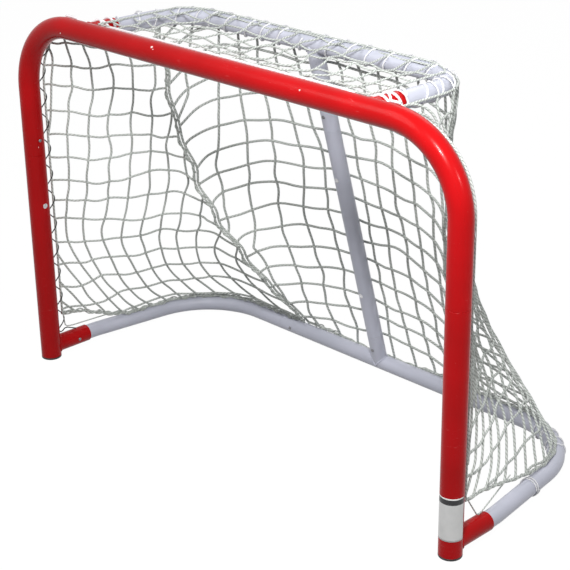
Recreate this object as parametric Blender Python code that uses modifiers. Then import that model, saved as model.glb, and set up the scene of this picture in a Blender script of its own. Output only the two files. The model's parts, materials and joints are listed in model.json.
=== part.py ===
"""Knock-down street hockey goal: red steel front frame, white steel rear frame and a cord net.

Metres, +Z up. X runs across the mouth, which faces -Y. The origin lies on the floor under the
middle of the goal. The front frame is a bent bow on two posts. The rear frame is a base rail in
three lengths, a top rail and a leaning brace, and it plugs into four sleeves on the front frame.
Every plug is locked by a sprung button that pokes through its sleeve.
"""

import math

import bmesh
import bpy
from mathutils import Matrix, Vector

# Overall sizes
GOAL_WIDTH = 1.372  # over the outsides of the posts
GOAL_HEIGHT = 0.914  # floor to the top of the crossbar
BASE_DEPTH = 0.530  # post axis to the base rail's back run
SHELF_DEPTH = 0.298  # crossbar axis to the top rail's back run

# Tubes
FRONT_OD = 0.0508
FRONT_WALL = 0.0015
REAR_OD = 0.0381
REAR_WALL = 0.0012
BOW_BEND_RADIUS = 0.170
BOW_LEG = 0.168  # straight length under each bend, down to the seam with the post
BASE_TAPER = 0.0506  # how far each side run comes in on its way back
BASE_BEND_RADIUS = 0.195
BASE_KINK_DEPTH = 0.140  # where the side runs turn inwards
BASE_KINK_RADIUS = 0.250
BASE_SEAM_SETBACK = 0.0987  # from a bend's end to the seam in the back run
SHELF_INSET = 0.0606  # from the bow's bend to the axis of the top rail's arm
SHELF_BEND_RADIUS = 0.112

# Sleeves that the rear frame plugs into
SLEEVE_WALL = 0.0020
SLEEVE_CLEARANCE = 0.00045
SLEEVE_HEIGHT = 0.030  # axis of the base sleeves above the floor
BASE_SLEEVE_REACH = 0.115  # from the post axis
SHELF_SLEEVE_REACH = 0.085  # from the crossbar axis
BASE_PLUG_DEPTH = 0.055  # how far a tube goes into its sleeve
SHELF_PLUG_DEPTH = 0.048

# Stubs that carry the brace
BASE_TEE_REACH = 0.085
SHELF_TEE_REACH = 0.215

# Inner couplers that join two lengths of tube
COUPLER_WALL = 0.0015
COUPLER_GRIP = 0.145  # the riveted end, in posts and brace
BASE_COUPLER_GRIP = 0.095
COUPLER_REACH = 0.055  # the end that takes the button
RIVET_INSET = 0.131
HEM_RIVET_HEIGHT = 0.147  # above the seam, on the outside of the bow

# Snap buttons
BUTTON_RADIUS = 0.0040
BUTTON_RISE = 0.0025  # above the sleeve that it locks
BUTTON_DOME = 0.0018
BUTTON_INSET = 0.038
FLANGE_RADIUS = 0.0055
FLANGE_THICKNESS = 0.0010
SPRING_WIDTH = 0.0070
SPRING_THICKNESS = 0.0008
SPRING_LENGTH = 0.040

# Rivets
RIVET_HEAD_RADIUS = 0.0065
RIVET_HEAD_RISE = 0.0016
RIVET_SHANK_RADIUS = 0.0024

# Foot caps
FOOT_RIM = 0.0050
FOOT_SPIGOT = 0.0200
FOOT_CHAMFER = 0.0012

# Net
NET_CORD = 0.0040
NET_ROWS = 10
SIDE_COLUMNS = 6
BACK_COLUMNS = 12
TOP_COLUMNS = 10
TOP_ROWS = 3
NET_EDGE_OFFSET = 0.043  # post axis to the net's front edge
TOP_NET_OFFSET = 0.022  # crossbar axis to the top net's front edge
NET_FOOT = 0.036  # lowest knot of the front edge
SEAM_FOOT_SETBACK = 0.178  # from the base rail's bend to the foot of a corner seam
SEAM_HEAD_REACH = 0.192  # along the top rail, from the net's front edge to a seam's head
NET_SEAM = 0.007  # between the edge cords of two panels
SEAM_SAG = 0.106  # how far the slack seams hang in towards the mouth
SIDE_SAG = 0.092  # how far the slack sides hang in
FLAT_BACK = 0.2  # share of the back net that lies behind the brace without a sag
FOOT_TURN = math.radians(70)  # round the base rail, where the back net ends at a seam

# Lacing that ties the net to the posts
LACE_RADIUS = 0.0016
LACE_SWAY = 0.0052
LACE_TOP = 0.027  # below the seam
LACE_FOOT = 0.060  # above the floor
LACE_POINTS = 8  # a turn

# Clearances and facets
FIT_GAP = 0.0003
CUT_LENGTH = 0.200  # of the cylinders that shape the ends of sleeves and stubs
NET_GAP = 0.0005
FRONT_SIDES = 24
REAR_SIDES = 20
SMALL_SIDES = 12
BEND_STEPS = 6
SEAM_STEPS = 20

# Sizes that follow from the ones above
FRONT_RADIUS = FRONT_OD / 2
REAR_RADIUS = REAR_OD / 2
POST_X = GOAL_WIDTH / 2 - FRONT_RADIUS
CROSSBAR_Z = GOAL_HEIGHT - FRONT_RADIUS
SEAM_HEIGHT = CROSSBAR_Z - BOW_BEND_RADIUS - BOW_LEG
SHELF_HALF_WIDTH = POST_X - BOW_BEND_RADIUS - SHELF_INSET
BASE_HALF_WIDTH = POST_X - BASE_TAPER  # the back run's ends, before their bends are rounded
BASE_TURN = math.pi / 2 - math.atan2(BASE_TAPER, BASE_DEPTH - BASE_KINK_DEPTH)
BASE_BEND_END = BASE_HALF_WIDTH - BASE_BEND_RADIUS * math.tan(BASE_TURN / 2)
BASE_SEAM_X = BASE_BEND_END - BASE_SEAM_SETBACK
SEAM_FOOT_X = BASE_BEND_END - SEAM_FOOT_SETBACK
TILT = math.asin((SLEEVE_HEIGHT - REAR_RADIUS) / BASE_DEPTH)  # of the rear frame, towards the floor
SLEEVE_BORE = REAR_RADIUS + SLEEVE_CLEARANCE
SLEEVE_RADIUS = SLEEVE_BORE + SLEEVE_WALL
NET_OFFSET = REAR_RADIUS + NET_GAP + NET_CORD / 2
FOOT_OFFSET = SLEEVE_RADIUS + NET_GAP + NET_CORD / 2  # base rail's axis to a side net's foot
HEAD_OFFSET = SLEEVE_RADIUS + 1.5 * NET_CORD  # top rail's axis to the edges that hang from it
BACK_REACH = BASE_DEPTH * math.cos(TILT) + NET_OFFSET + NET_CORD / 2
POST_Y = (FRONT_RADIUS - BACK_REACH) / 2
LACE_PITCH_SHARE = 2 / 3  # of a net row, so that no turn meets a knot

RED = (0.62, 0.018, 0.02, 1)
WHITE = (0.74, 0.74, 0.80, 1)
STEEL = (0.60, 0.60, 0.62, 1)
BLACK = (0.012, 0.012, 0.012, 1)
CORD = (0.72, 0.74, 0.68, 1)

X, Y, Z = Vector((1, 0, 0)), Vector((0, 1, 0)), Vector((0, 0, 1))
BASE_PLANE = Matrix.Translation((0, POST_Y, SLEEVE_HEIGHT)) @ Matrix.Rotation(-TILT, 4, "X")
SHELF_PLANE = Matrix.Translation((0, POST_Y, CROSSBAR_Z)) @ Matrix.Rotation(-TILT, 4, "X")
BASE_MIDDLE = BASE_PLANE @ Vector((0, BASE_DEPTH, 0))
SHELF_MIDDLE = SHELF_PLANE @ Vector((0, SHELF_DEPTH, 0))
BRACE_LENGTH = (SHELF_MIDDLE - BASE_MIDDLE).length
BRACE_AXIS = (SHELF_MIDDLE - BASE_MIDDLE).normalized()
BRACE_FRONT = (-Y + BRACE_AXIS * Y.dot(BRACE_AXIS)).normalized()
SIDES = (("left", -1), ("right", 1))


def clear_scene():
    for thing in list(bpy.data.objects):
        bpy.data.objects.remove(thing, do_unlink=True)


def collection(name):
    made = bpy.data.collections.new(name)
    bpy.context.scene.collection.children.link(made)
    return made


def finish(name, colour, roughness, metallic):
    """A plain Principled material."""
    material = bpy.data.materials.new(name)
    material.use_nodes = True
    shader = material.node_tree.nodes["Principled BSDF"]
    shader.inputs["Base Color"].default_value = colour
    shader.inputs["Roughness"].default_value = roughness
    shader.inputs["Metallic"].default_value = metallic
    return material


clear_scene()
PARTS = collection("hockey_goal")
CUTTERS = collection("cutters")
FINISHES = {
    "red": finish("red powder coat", RED, 0.35, 0.0),
    "white": finish("white powder coat", WHITE, 0.4, 0.0),
    "steel": finish("plated steel", STEEL, 0.3, 1.0),
    "black": finish("black rubber", BLACK, 0.7, 0.0),
    "cord": finish("net cord", CORD, 0.85, 0.0),
    "lace": finish("black lace", BLACK, 0.8, 0.0),
}


def add_part(name, mesh, colour, smooth=True):
    """One named object of the goal, with its own copy of a finish."""
    part = bpy.data.objects.new(name, mesh)
    material = FINISHES[colour].copy()
    material.name = name
    mesh.materials.clear()
    mesh.materials.append(material)
    if smooth:
        mesh.shade_smooth()
        mesh.set_sharp_from_angle(angle=math.radians(40))
    PARTS.objects.link(part)
    return part


def as_mesh(thing):
    """The evaluated mesh of a helper object, welded, with the helper removed."""
    bpy.context.scene.collection.objects.link(thing)
    bpy.context.view_layer.update()
    graph = bpy.context.evaluated_depsgraph_get()
    mesh = bpy.data.meshes.new_from_object(thing.evaluated_get(graph))
    mesh.name = thing.name
    bpy.data.objects.remove(thing, do_unlink=True)
    shape = bmesh.new()
    shape.from_mesh(mesh)
    bmesh.ops.remove_doubles(shape, verts=shape.verts, dist=0.00001)
    shape.to_mesh(mesh)
    shape.free()
    return mesh


def curve_object(name, route, dimensions="3D"):
    curve = bpy.data.curves.new(name, "CURVE")
    curve.dimensions = dimensions
    curve.render_resolution_u = 0
    spline = curve.splines.new("POLY")
    spline.points.add(len(route) - 1)
    for point, place in zip(spline.points, route):
        point.co = (*place, 1)
    return bpy.data.objects.new(name, curve)


def swept(name, route, radius, sides, caps=False):
    """Round section of the given radius along a route, open at its ends unless capped."""
    pipe = curve_object(name, route)
    pipe.data.bevel_depth = radius
    pipe.data.bevel_resolution = sides // 2 - 2
    pipe.data.use_fill_caps = caps
    return as_mesh(pipe)


def tube(name, route, radius, wall, sides, colour):
    """Hollow tube: an open sweep with its wall turned inwards."""
    part = add_part(name, swept(name, route, radius, sides), colour)
    shell = part.modifiers.new("wall", "SOLIDIFY")
    shell.thickness = wall
    shell.offset = -1
    return part


def turned(name, profile, steps):
    """Object of revolution about Z from a profile of radius and height, top to bottom."""
    mesh = bpy.data.meshes.new(name)
    points = [(radius, 0, height) for radius, height in profile]
    mesh.from_pydata(points, [(n, n + 1) for n in range(len(points) - 1)], [])
    part = bpy.data.objects.new(name, mesh)
    screw = part.modifiers.new("turn", "SCREW")
    screw.steps = screw.render_steps = steps
    screw.use_merge_vertices = True
    screw.merge_threshold = 0.00001
    return part


def cutter(name, centre, direction, radius, length, sides):
    """Cylinder that cuts, centred on a point and lying along a direction."""
    bpy.ops.mesh.primitive_cylinder_add(vertices=sides, radius=radius, depth=length)
    tool = bpy.context.object
    tool.name = name
    tool.rotation_euler = direction.to_track_quat("Z", "Y").to_euler()
    tool.location = centre
    for home in list(tool.users_collection):
        home.objects.unlink(tool)
    CUTTERS.objects.link(tool)
    tool.hide_render = True
    tool.display_type = "WIRE"
    return tool


def cut(part, tool):
    removal = part.modifiers.new("cut by " + tool.name, "BOOLEAN")
    removal.operation = "DIFFERENCE"
    removal.object = tool


def rounded(corners, radii, steps=BEND_STEPS):
    """Route through corners, each rounded by an arc of its own radius."""
    route = [corners[0]]
    for before, corner, after, radius in zip(corners, corners[1:], corners[2:], radii):
        back, ahead = (before - corner).normalized(), (after - corner).normalized()
        half = back.angle(ahead) / 2
        centre = corner + (back + ahead).normalized() * radius / math.sin(half)
        start = corner + back * radius / math.tan(half) - centre
        axis = (-back).cross(ahead).normalized()
        for n in range(steps + 1):
            turn = Matrix.Rotation((math.pi - 2 * half) * n / steps, 3, axis)
            route.append(centre + turn @ start)
    route.append(corners[-1])
    return route


def in_plane(plane, points):
    return [plane @ point for point in points]


def tube_bore(radius, wall, sides):
    """Least inner radius of a faceted tube."""
    return (radius - wall) * math.cos(math.pi / sides)


# Front frame


def build_bow():
    corners = [
        Vector((-POST_X, POST_Y, SEAM_HEIGHT + FIT_GAP / 2)),
        Vector((-POST_X, POST_Y, CROSSBAR_Z)),
        Vector((POST_X, POST_Y, CROSSBAR_Z)),
        Vector((POST_X, POST_Y, SEAM_HEIGHT + FIT_GAP / 2)),
    ]
    route = rounded(corners, [BOW_BEND_RADIUS, BOW_BEND_RADIUS])
    return tube("crossbar_bow", route, FRONT_RADIUS, FRONT_WALL, FRONT_SIDES, "red")


def build_post(side, sign):
    foot = Vector((sign * POST_X, POST_Y, FOOT_RIM + FIT_GAP))
    head = Vector((sign * POST_X, POST_Y, SEAM_HEIGHT - FIT_GAP / 2))
    return tube(side + "_post", [foot, head], FRONT_RADIUS, FRONT_WALL, FRONT_SIDES, "red")


def build_foot_cap(side, sign):
    spigot = tube_bore(FRONT_RADIUS, FRONT_WALL, FRONT_SIDES) - FIT_GAP
    profile = [
        (0, FOOT_RIM + FOOT_SPIGOT),
        (spigot - FOOT_CHAMFER, FOOT_RIM + FOOT_SPIGOT),
        (spigot, FOOT_RIM + FOOT_SPIGOT - FOOT_CHAMFER),
        (spigot, FOOT_RIM),
        (FRONT_RADIUS, FOOT_RIM),
        (FRONT_RADIUS, FOOT_CHAMFER),
        (FRONT_RADIUS - FOOT_CHAMFER, 0),
        (0, 0),
    ]
    cap = add_part(side + "_foot_cap", as_mesh(turned("cap", profile, FRONT_SIDES)), "black")
    cap.location = (sign * POST_X, POST_Y, 0)
    return cap


def build_base_sleeve(side, sign):
    """Sleeve behind a post's foot, its front end cut to the post's round."""
    route = in_plane(BASE_PLANE, [X * sign * POST_X, X * sign * POST_X + Y * BASE_SLEEVE_REACH])
    sleeve = tube(side + "_base_sleeve", route, SLEEVE_RADIUS, SLEEVE_WALL, FRONT_SIDES, "red")
    middle = Vector((sign * POST_X, POST_Y, SLEEVE_HEIGHT))
    cut(sleeve, cutter(side + "_post_round", middle, Z, FRONT_RADIUS + FIT_GAP, CUT_LENGTH,
                       FRONT_SIDES))
    return sleeve


def build_shelf_sleeve(side, sign, crossbar_round):
    """Sleeve behind the crossbar, cut to the crossbar's round."""
    foot = X * sign * SHELF_HALF_WIDTH
    route = in_plane(SHELF_PLANE, [foot, foot + Y * SHELF_SLEEVE_REACH])
    sleeve = tube(side + "_shelf_sleeve", route, SLEEVE_RADIUS, SLEEVE_WALL, FRONT_SIDES, "red")
    cut(sleeve, crossbar_round)
    return sleeve


# Rear frame


def build_base_side(side, sign):
    """From the plug in the base sleeve, round the back bend, to the seam in the back run."""
    corners = [
        Vector((sign * POST_X, BASE_SLEEVE_REACH - BASE_PLUG_DEPTH, 0)),
        Vector((sign * POST_X, BASE_KINK_DEPTH, 0)),
        Vector((sign * BASE_HALF_WIDTH, BASE_DEPTH, 0)),
        Vector((sign * (BASE_SEAM_X + FIT_GAP / 2), BASE_DEPTH, 0)),
    ]
    route = rounded(corners[:3], [BASE_KINK_RADIUS], 2)[:-1]
    route += rounded([route[-1]] + corners[2:], [BASE_BEND_RADIUS])[1:]
    route = in_plane(BASE_PLANE, route)
    return tube(side + "_base_rail", route, REAR_RADIUS, REAR_WALL, REAR_SIDES, "white")


def build_base_middle():
    end = BASE_SEAM_X - FIT_GAP / 2
    route = in_plane(BASE_PLANE, [Vector((-end, BASE_DEPTH, 0)), Vector((end, BASE_DEPTH, 0))])
    return tube("middle_base_rail", route, REAR_RADIUS, REAR_WALL, REAR_SIDES, "white")


def build_top_rail():
    start = SHELF_SLEEVE_REACH - SHELF_PLUG_DEPTH
    corners = [
        Vector((-SHELF_HALF_WIDTH, start, 0)),
        Vector((-SHELF_HALF_WIDTH, SHELF_DEPTH, 0)),
        Vector((SHELF_HALF_WIDTH, SHELF_DEPTH, 0)),
        Vector((SHELF_HALF_WIDTH, start, 0)),
    ]
    route = in_plane(SHELF_PLANE, rounded(corners, [SHELF_BEND_RADIUS, SHELF_BEND_RADIUS]))
    return tube("top_rail", route, REAR_RADIUS, REAR_WALL, REAR_SIDES, "white")


def along_brace(distance):
    return BASE_MIDDLE + BRACE_AXIS * distance


def brace_length(name, start, end):
    route = [along_brace(start), along_brace(end)]
    return tube(name, route, REAR_RADIUS, REAR_WALL, REAR_SIDES, "white")


def build_brace():
    """Stub on the base rail, the brace and the stub under the top rail."""
    upper = BRACE_LENGTH - SHELF_TEE_REACH
    base_tee = brace_length("base_tee", 0, BASE_TEE_REACH - FIT_GAP / 2)
    brace = brace_length("brace", BASE_TEE_REACH + FIT_GAP / 2, upper - FIT_GAP / 2)
    shelf_tee = brace_length("shelf_tee", upper + FIT_GAP / 2, BRACE_LENGTH)
    rail = REAR_RADIUS + FIT_GAP
    cut(base_tee, cutter("base_rail_round", BASE_MIDDLE, X, rail, CUT_LENGTH, REAR_SIDES))
    cut(shelf_tee, cutter("top_rail_round", SHELF_MIDDLE, X, rail, CUT_LENGTH, REAR_SIDES))
    return base_tee, brace, shelf_tee


# Couplers, buttons and rivets


def build_coupler(name, seam, axis, grip, bore, sides, colour):
    """Inner tube across a seam. Its grip lies against the axis, its free end along it."""
    radius = bore - FIT_GAP
    route = [seam - axis * grip, seam + axis * COUPLER_REACH]
    return tube(name, route, radius, COUPLER_WALL, sides, colour)


def seat(name, place, outward, along):
    """Empty on a tube's axis, its Z out through the wall and its X along the tube."""
    empty = bpy.data.objects.new(name + "_seat", None)
    empty.empty_display_size = 0.02
    across = outward.cross(along)
    rows = Matrix((along, across, outward)).transposed()
    empty.matrix_world = Matrix.Translation(place) @ rows.to_4x4()
    PARTS.objects.link(empty)
    return empty


def bore_tool(name, empty, radius, inner, outer):
    """Cylinder through one wall of a seat's tube."""
    tool = cutter(name + "_bore", Z * (inner + outer) / 2, Z, radius, outer - inner, SMALL_SIDES)
    tool.parent = empty
    return tool


def build_button(label, empty, inner_bore, sleeve_radius):
    """Domed button with the flange that stops it inside the inner tube."""
    top = sleeve_radius + BUTTON_RISE
    flange_top = math.sqrt(inner_bore**2 - FLANGE_RADIUS**2) - FIT_GAP
    dome = [
        (BUTTON_RADIUS * math.sin(a), top - BUTTON_DOME * (1 - math.cos(a)))
        for a in (math.radians(30 * n) for n in range(4))
    ]
    profile = dome + [
        (BUTTON_RADIUS, flange_top),
        (FLANGE_RADIUS, flange_top),
        (FLANGE_RADIUS, flange_top - FLANGE_THICKNESS),
        (0, flange_top - FLANGE_THICKNESS),
    ]
    name = label + "_snap_button"
    button = add_part(name, as_mesh(turned(name, profile, SMALL_SIDES)), "steel")
    button.parent = empty
    return flange_top - FLANGE_THICKNESS


def build_spring(label, empty, flange_foot, inner_bore):
    """Bent leaf spring: one leg under the button, the other on the far wall of the tube."""
    near = flange_foot - FIT_GAP - SPRING_THICKNESS / 2
    far = -math.sqrt(inner_bore**2 - (SPRING_WIDTH / 2) ** 2) + FIT_GAP + SPRING_THICKNESS / 2
    corners = [
        Vector((-FLANGE_RADIUS, near, 0)),
        Vector((2 * FLANGE_RADIUS, near, 0)),
        Vector((SPRING_LENGTH, (near + far) / 2, 0)),
        Vector((2 * FLANGE_RADIUS, far, 0)),
        Vector((-FLANGE_RADIUS, far, 0)),
    ]
    soft = SPRING_WIDTH / 2
    leaf = curve_object(label + "_spring", rounded(corners, [soft, soft, soft], 3), "2D")
    leaf.data.fill_mode = "NONE"
    leaf.data.extrude = SPRING_WIDTH / 2
    spring = add_part(label + "_spring", as_mesh(leaf), "steel")
    strip = spring.modifiers.new("strip", "SOLIDIFY")
    strip.thickness = SPRING_THICKNESS
    strip.offset = 0
    strip.use_even_offset = True
    spring.rotation_euler = (math.pi / 2, 0, 0)
    spring.parent = empty


def build_fastener(label, place, outward, along, sleeve_radius, inner_bore, walls):
    """Snap button and spring at a seat, with their bore through the named walls."""
    empty = seat(label, place, outward, along)
    foot = build_button(label, empty, inner_bore, sleeve_radius)
    build_spring(label, empty, foot, inner_bore)
    reach = sleeve_radius + BUTTON_RISE
    tool = bore_tool(label, empty, BUTTON_RADIUS + FIT_GAP, inner_bore / 2, reach)
    for wall in walls:
        cut(wall, tool)


def rivet_profile(tube_radius, inner_bore):
    """Domed head on the tube's surface and a shank through its walls."""
    lift = tube_radius + FIT_GAP
    dome = [
        (RIVET_HEAD_RADIUS * math.sin(a), lift + RIVET_HEAD_RISE * math.cos(a))
        for a in (math.radians(30 * n) for n in range(4))
    ]
    shank = [(RIVET_SHANK_RADIUS, lift), (RIVET_SHANK_RADIUS, inner_bore), (0, inner_bore)]
    return dome + shank


def build_rivet(label, place, outward, along, tube_radius, inner_bore, walls):
    """Rivet at a seat, with its bore through the named walls."""
    empty = seat(label, place, outward, along)
    rivet = turned(label, rivet_profile(tube_radius, inner_bore), SMALL_SIDES)
    add_part(label, as_mesh(rivet), "steel").parent = empty
    tool = bore_tool(label, empty, RIVET_SHANK_RADIUS + FIT_GAP, inner_bore / 2,
                     tube_radius + FIT_GAP)
    for wall in walls:
        cut(wall, tool)


# Net and lacing


def bow_edge():
    """Front edge of a side panel, from the post's foot up and round the bow's bend."""
    corners = [
        Vector((POST_X, 0, NET_FOOT)),
        Vector((POST_X, 0, CROSSBAR_Z)),
        Vector((SHELF_HALF_WIDTH + HEAD_OFFSET, 0, CROSSBAR_Z)),
    ]
    route = rounded(corners, [BOW_BEND_RADIUS], 2 * BEND_STEPS)
    return [point + Y * (POST_Y + NET_EDGE_OFFSET) for point in route]


def foot_edge():
    """Foot of the right side panel, over the base rail from the post to the seam."""
    corners = [
        Vector((POST_X, NET_EDGE_OFFSET, 0)),
        Vector((BASE_HALF_WIDTH, BASE_DEPTH, 0)),
        Vector((SEAM_FOOT_X + NET_SEAM, BASE_DEPTH, 0)),
    ]
    route = rounded(corners, [BASE_BEND_RADIUS], 2 * BEND_STEPS)
    return [BASE_PLANE @ (point + Z * FOOT_OFFSET) for point in route]


def head_edge():
    """Outside of the top rail from its right arm's front, round the back, to the left one's."""
    half, depth = SHELF_HALF_WIDTH + HEAD_OFFSET, SHELF_DEPTH + HEAD_OFFSET
    corners = [
        Vector((half, NET_EDGE_OFFSET, 0)),
        Vector((half, depth, 0)),
        Vector((-half, depth, 0)),
        Vector((-half, NET_EDGE_OFFSET, 0)),
    ]
    radius = SHELF_BEND_RADIUS + HEAD_OFFSET
    return in_plane(SHELF_PLANE, rounded(corners, [radius] * 2, 2 * BEND_STEPS))


def length_of(route):
    return sum((b - a).length for a, b in zip(route, route[1:]))


def walk(route, share):
    """Point at a share of a route's length."""
    goal = share * length_of(route)
    for a, b in zip(route, route[1:]):
        length = (b - a).length
        if goal <= length:
            return a.lerp(b, goal / length)
        goal -= length
    return route[-1].copy()


def patch(left, right, bottom, top, u, v):
    """Point of the surface that spans four edges, each walked by its length."""
    edges_u = walk(left, v).lerp(walk(right, v), u)
    edges_v = walk(bottom, u).lerp(walk(top, u), v)
    corners = left[0].lerp(right[0], u).lerp(left[-1].lerp(right[-1], u), v)
    return edges_u + edges_v - corners


def hang(foot, head, v, share=1.0):
    """Point of a slack line between foot and head that hangs in towards the mouth."""
    return foot.lerp(head, v) + BRACE_FRONT * (SEAM_SAG * share * math.sin(math.pi * v))


def net_panel(name, columns, rows, place):
    """Grid of cords whose knots are given by place(u, v)."""
    bpy.ops.mesh.primitive_grid_add(x_subdivisions=columns, y_subdivisions=rows, size=1)
    grid = bpy.context.object
    mesh = grid.data
    for vertex in mesh.vertices:
        vertex.co = place(vertex.co.x + 0.5, vertex.co.y + 0.5)
    bpy.data.objects.remove(grid, do_unlink=True)
    mesh.name = name
    panel = add_part(name, mesh, "cord", smooth=False)
    cords = panel.modifiers.new("cords", "WIREFRAME")
    cords.thickness = NET_CORD
    cords.use_even_offset = False
    cords.use_boundary = True
    return panel


def side_edges():
    """Left, right, bottom and top edges of the right side panel."""
    left, bottom, whole = bow_edge(), foot_edge(), head_edge()
    reach = (SEAM_HEAD_REACH - NET_SEAM) / length_of(whole)
    top = [walk(whole, reach * n / SEAM_STEPS) for n in range(SEAM_STEPS + 1)]
    right = [hang(bottom[-1], top[-1], n / SEAM_STEPS) for n in range(SEAM_STEPS + 1)]
    left[0], left[-1] = bottom[0].copy(), top[0].copy()
    return left, right, bottom, top


def build_side_net(side, sign):
    left, right, bottom, top = side_edges()

    def place(u, v):
        point = patch(left, right, bottom, top, u, v)
        point -= X * SIDE_SAG * math.sin(math.pi * u) * math.sin(math.pi * v)
        return Vector((sign * point.x, point.y, point.z))

    return net_panel(side + "_side_net", SIDE_COLUMNS, NET_ROWS, place)


def build_back_net():
    """Sheet that lies behind the brace and hangs in towards its seams."""
    whole = head_edge()
    reach = SEAM_HEAD_REACH / length_of(whole)
    flat_turn = math.asin(-BRACE_FRONT.z)

    def place(u, v):
        across = 2 * u - 1
        slack = max(abs(across) - FLAT_BACK, 0) / (1 - FLAT_BACK)
        slack *= slack * (3 - 2 * slack)
        turn = flat_turn + (FOOT_TURN - flat_turn) * slack
        offset = NET_OFFSET + (FOOT_OFFSET - NET_OFFSET) * slack
        foot = BASE_PLANE @ Vector((across * SEAM_FOOT_X, BASE_DEPTH + offset * math.cos(turn),
                                    offset * math.sin(turn)))
        head = walk(whole, 1 - reach - (1 - 2 * reach) * u)
        return hang(foot, head, v, slack)

    return net_panel("back_net", BACK_COLUMNS, NET_ROWS, place)


def build_top_net():
    """Sheet over the shelf, its back corners following the top rail's bends."""
    half = SHELF_HALF_WIDTH - SLEEVE_RADIUS - NET_GAP - NET_CORD / 2
    bend_x = SHELF_HALF_WIDTH - SHELF_BEND_RADIUS
    bend_y = SHELF_DEPTH - SHELF_BEND_RADIUS

    def place(u, v):
        x = (2 * u - 1) * half
        past = max(abs(x) - bend_x, 0)
        back = bend_y + math.sqrt(SHELF_BEND_RADIUS**2 - past**2)
        depth = TOP_NET_OFFSET + (back - TOP_NET_OFFSET) * v
        return SHELF_PLANE @ Vector((x, depth, NET_OFFSET))

    return net_panel("top_net", TOP_COLUMNS, TOP_ROWS, place)


def build_lacing(side, sign):
    """Cord wound round the net's front edge and borne on the back of the post."""
    pitch = length_of(bow_edge()) / NET_ROWS * LACE_PITCH_SHARE
    near = FRONT_RADIUS + FIT_GAP + LACE_RADIUS
    far = NET_EDGE_OFFSET + NET_CORD * math.sqrt(0.5) + NET_GAP + LACE_RADIUS  # past a turned corner
    head = SEAM_HEIGHT - LACE_TOP
    turns = int((head - LACE_FOOT) / pitch)
    route = []
    for n in range(turns * LACE_POINTS + 1):
        turn = n / LACE_POINTS
        angle = 2 * math.pi * turn
        depth = (near + far) / 2 - (far - near) / 2 * math.cos(angle)
        height = head - turn * pitch
        route.append(Vector((sign * POST_X + LACE_SWAY * math.sin(angle), POST_Y + depth, height)))
    mesh = swept(side + "_lacing", route, LACE_RADIUS, 6, caps=True)
    return add_part(side + "_lacing", mesh, "lace")


def build_goal():
    front_bore = tube_bore(FRONT_RADIUS, FRONT_WALL, FRONT_SIDES)
    rear_bore = tube_bore(REAR_RADIUS, REAR_WALL, REAR_SIDES)
    front_inner = tube_bore(front_bore - FIT_GAP, COUPLER_WALL, FRONT_SIDES)
    rear_inner = tube_bore(rear_bore - FIT_GAP, COUPLER_WALL, REAR_SIDES)
    bow = build_bow()
    crossbar_round = cutter("crossbar_round", Vector((0, POST_Y, CROSSBAR_Z)), X,
                            FRONT_RADIUS + FIT_GAP, 2 * SHELF_HALF_WIDTH + 4 * SLEEVE_RADIUS,
                            FRONT_SIDES)
    top_rail = build_top_rail()
    middle = build_base_middle()
    tees = build_brace()
    back = BASE_PLANE.to_3x3() @ Y
    for side, sign in SIDES:
        inward = -X * sign
        post = build_post(side, sign)
        build_foot_cap(side, sign)
        base_sleeve = build_base_sleeve(side, sign)
        shelf_sleeve = build_shelf_sleeve(side, sign, crossbar_round)
        base_side = build_base_side(side, sign)

        seam = Vector((sign * POST_X, POST_Y, SEAM_HEIGHT))
        coupler = build_coupler(side + "_post_coupler", seam, Z, COUPLER_GRIP, front_bore,
                                FRONT_SIDES, "red")
        build_fastener(side + "_post", seam + Z * BUTTON_INSET, inward, -Z, FRONT_RADIUS,
                       front_inner, (bow, coupler))
        build_rivet(side + "_post_rivet", seam - Z * RIVET_INSET, inward, Z, FRONT_RADIUS,
                    front_inner, (post, coupler))
        build_rivet(side + "_bow_rivet", seam + Z * HEM_RIVET_HEIGHT,
                    (Y + X * sign).normalized(), Z, FRONT_RADIUS, front_bore, (bow,))

        lock = BASE_PLANE @ Vector((sign * POST_X, BASE_SLEEVE_REACH - BUTTON_INSET, 0))
        build_fastener(side + "_base", lock, inward, back, SLEEVE_RADIUS, rear_bore,
                       (base_sleeve, base_side))
        lock = SHELF_PLANE @ Vector((sign * SHELF_HALF_WIDTH, SHELF_SLEEVE_REACH - BUTTON_INSET, 0))
        build_fastener(side + "_shelf", lock, inward, back, SLEEVE_RADIUS, rear_bore,
                       (shelf_sleeve, top_rail))

        seam = BASE_PLANE @ Vector((sign * BASE_SEAM_X, BASE_DEPTH, 0))
        coupler = build_coupler(side + "_base_coupler", seam, inward, BASE_COUPLER_GRIP,
                                rear_bore, REAR_SIDES, "white")
        build_fastener(side + "_rail", seam + inward * BUTTON_INSET, -back, -inward,
                       REAR_RADIUS, rear_inner, (middle, coupler))
        build_side_net(side, sign)
        build_lacing(side, sign)
    build_brace_joints(tees, rear_bore, rear_inner)
    build_back_net()
    build_top_net()


def build_brace_joints(tees, rear_bore, rear_inner):
    """Couplers, buttons and rivets of the brace's two seams."""
    base_tee, brace, shelf_tee = tees
    seams = (("lower_brace", BASE_TEE_REACH, -1, base_tee),
             ("upper_brace", BRACE_LENGTH - SHELF_TEE_REACH, 1, shelf_tee))
    for label, distance, heading, tee in seams:
        axis = BRACE_AXIS * heading
        seam = along_brace(distance)
        coupler = build_coupler(label + "_coupler", seam, axis, COUPLER_GRIP, rear_bore,
                                REAR_SIDES, "white")
        build_fastener(label, seam + axis * BUTTON_INSET, BRACE_FRONT, -axis, REAR_RADIUS,
                       rear_inner, (tee, coupler))
        build_rivet(label + "_rivet", seam - axis * RIVET_INSET, BRACE_FRONT, axis, REAR_RADIUS,
                    rear_inner, (brace, coupler))


build_goal()
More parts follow.
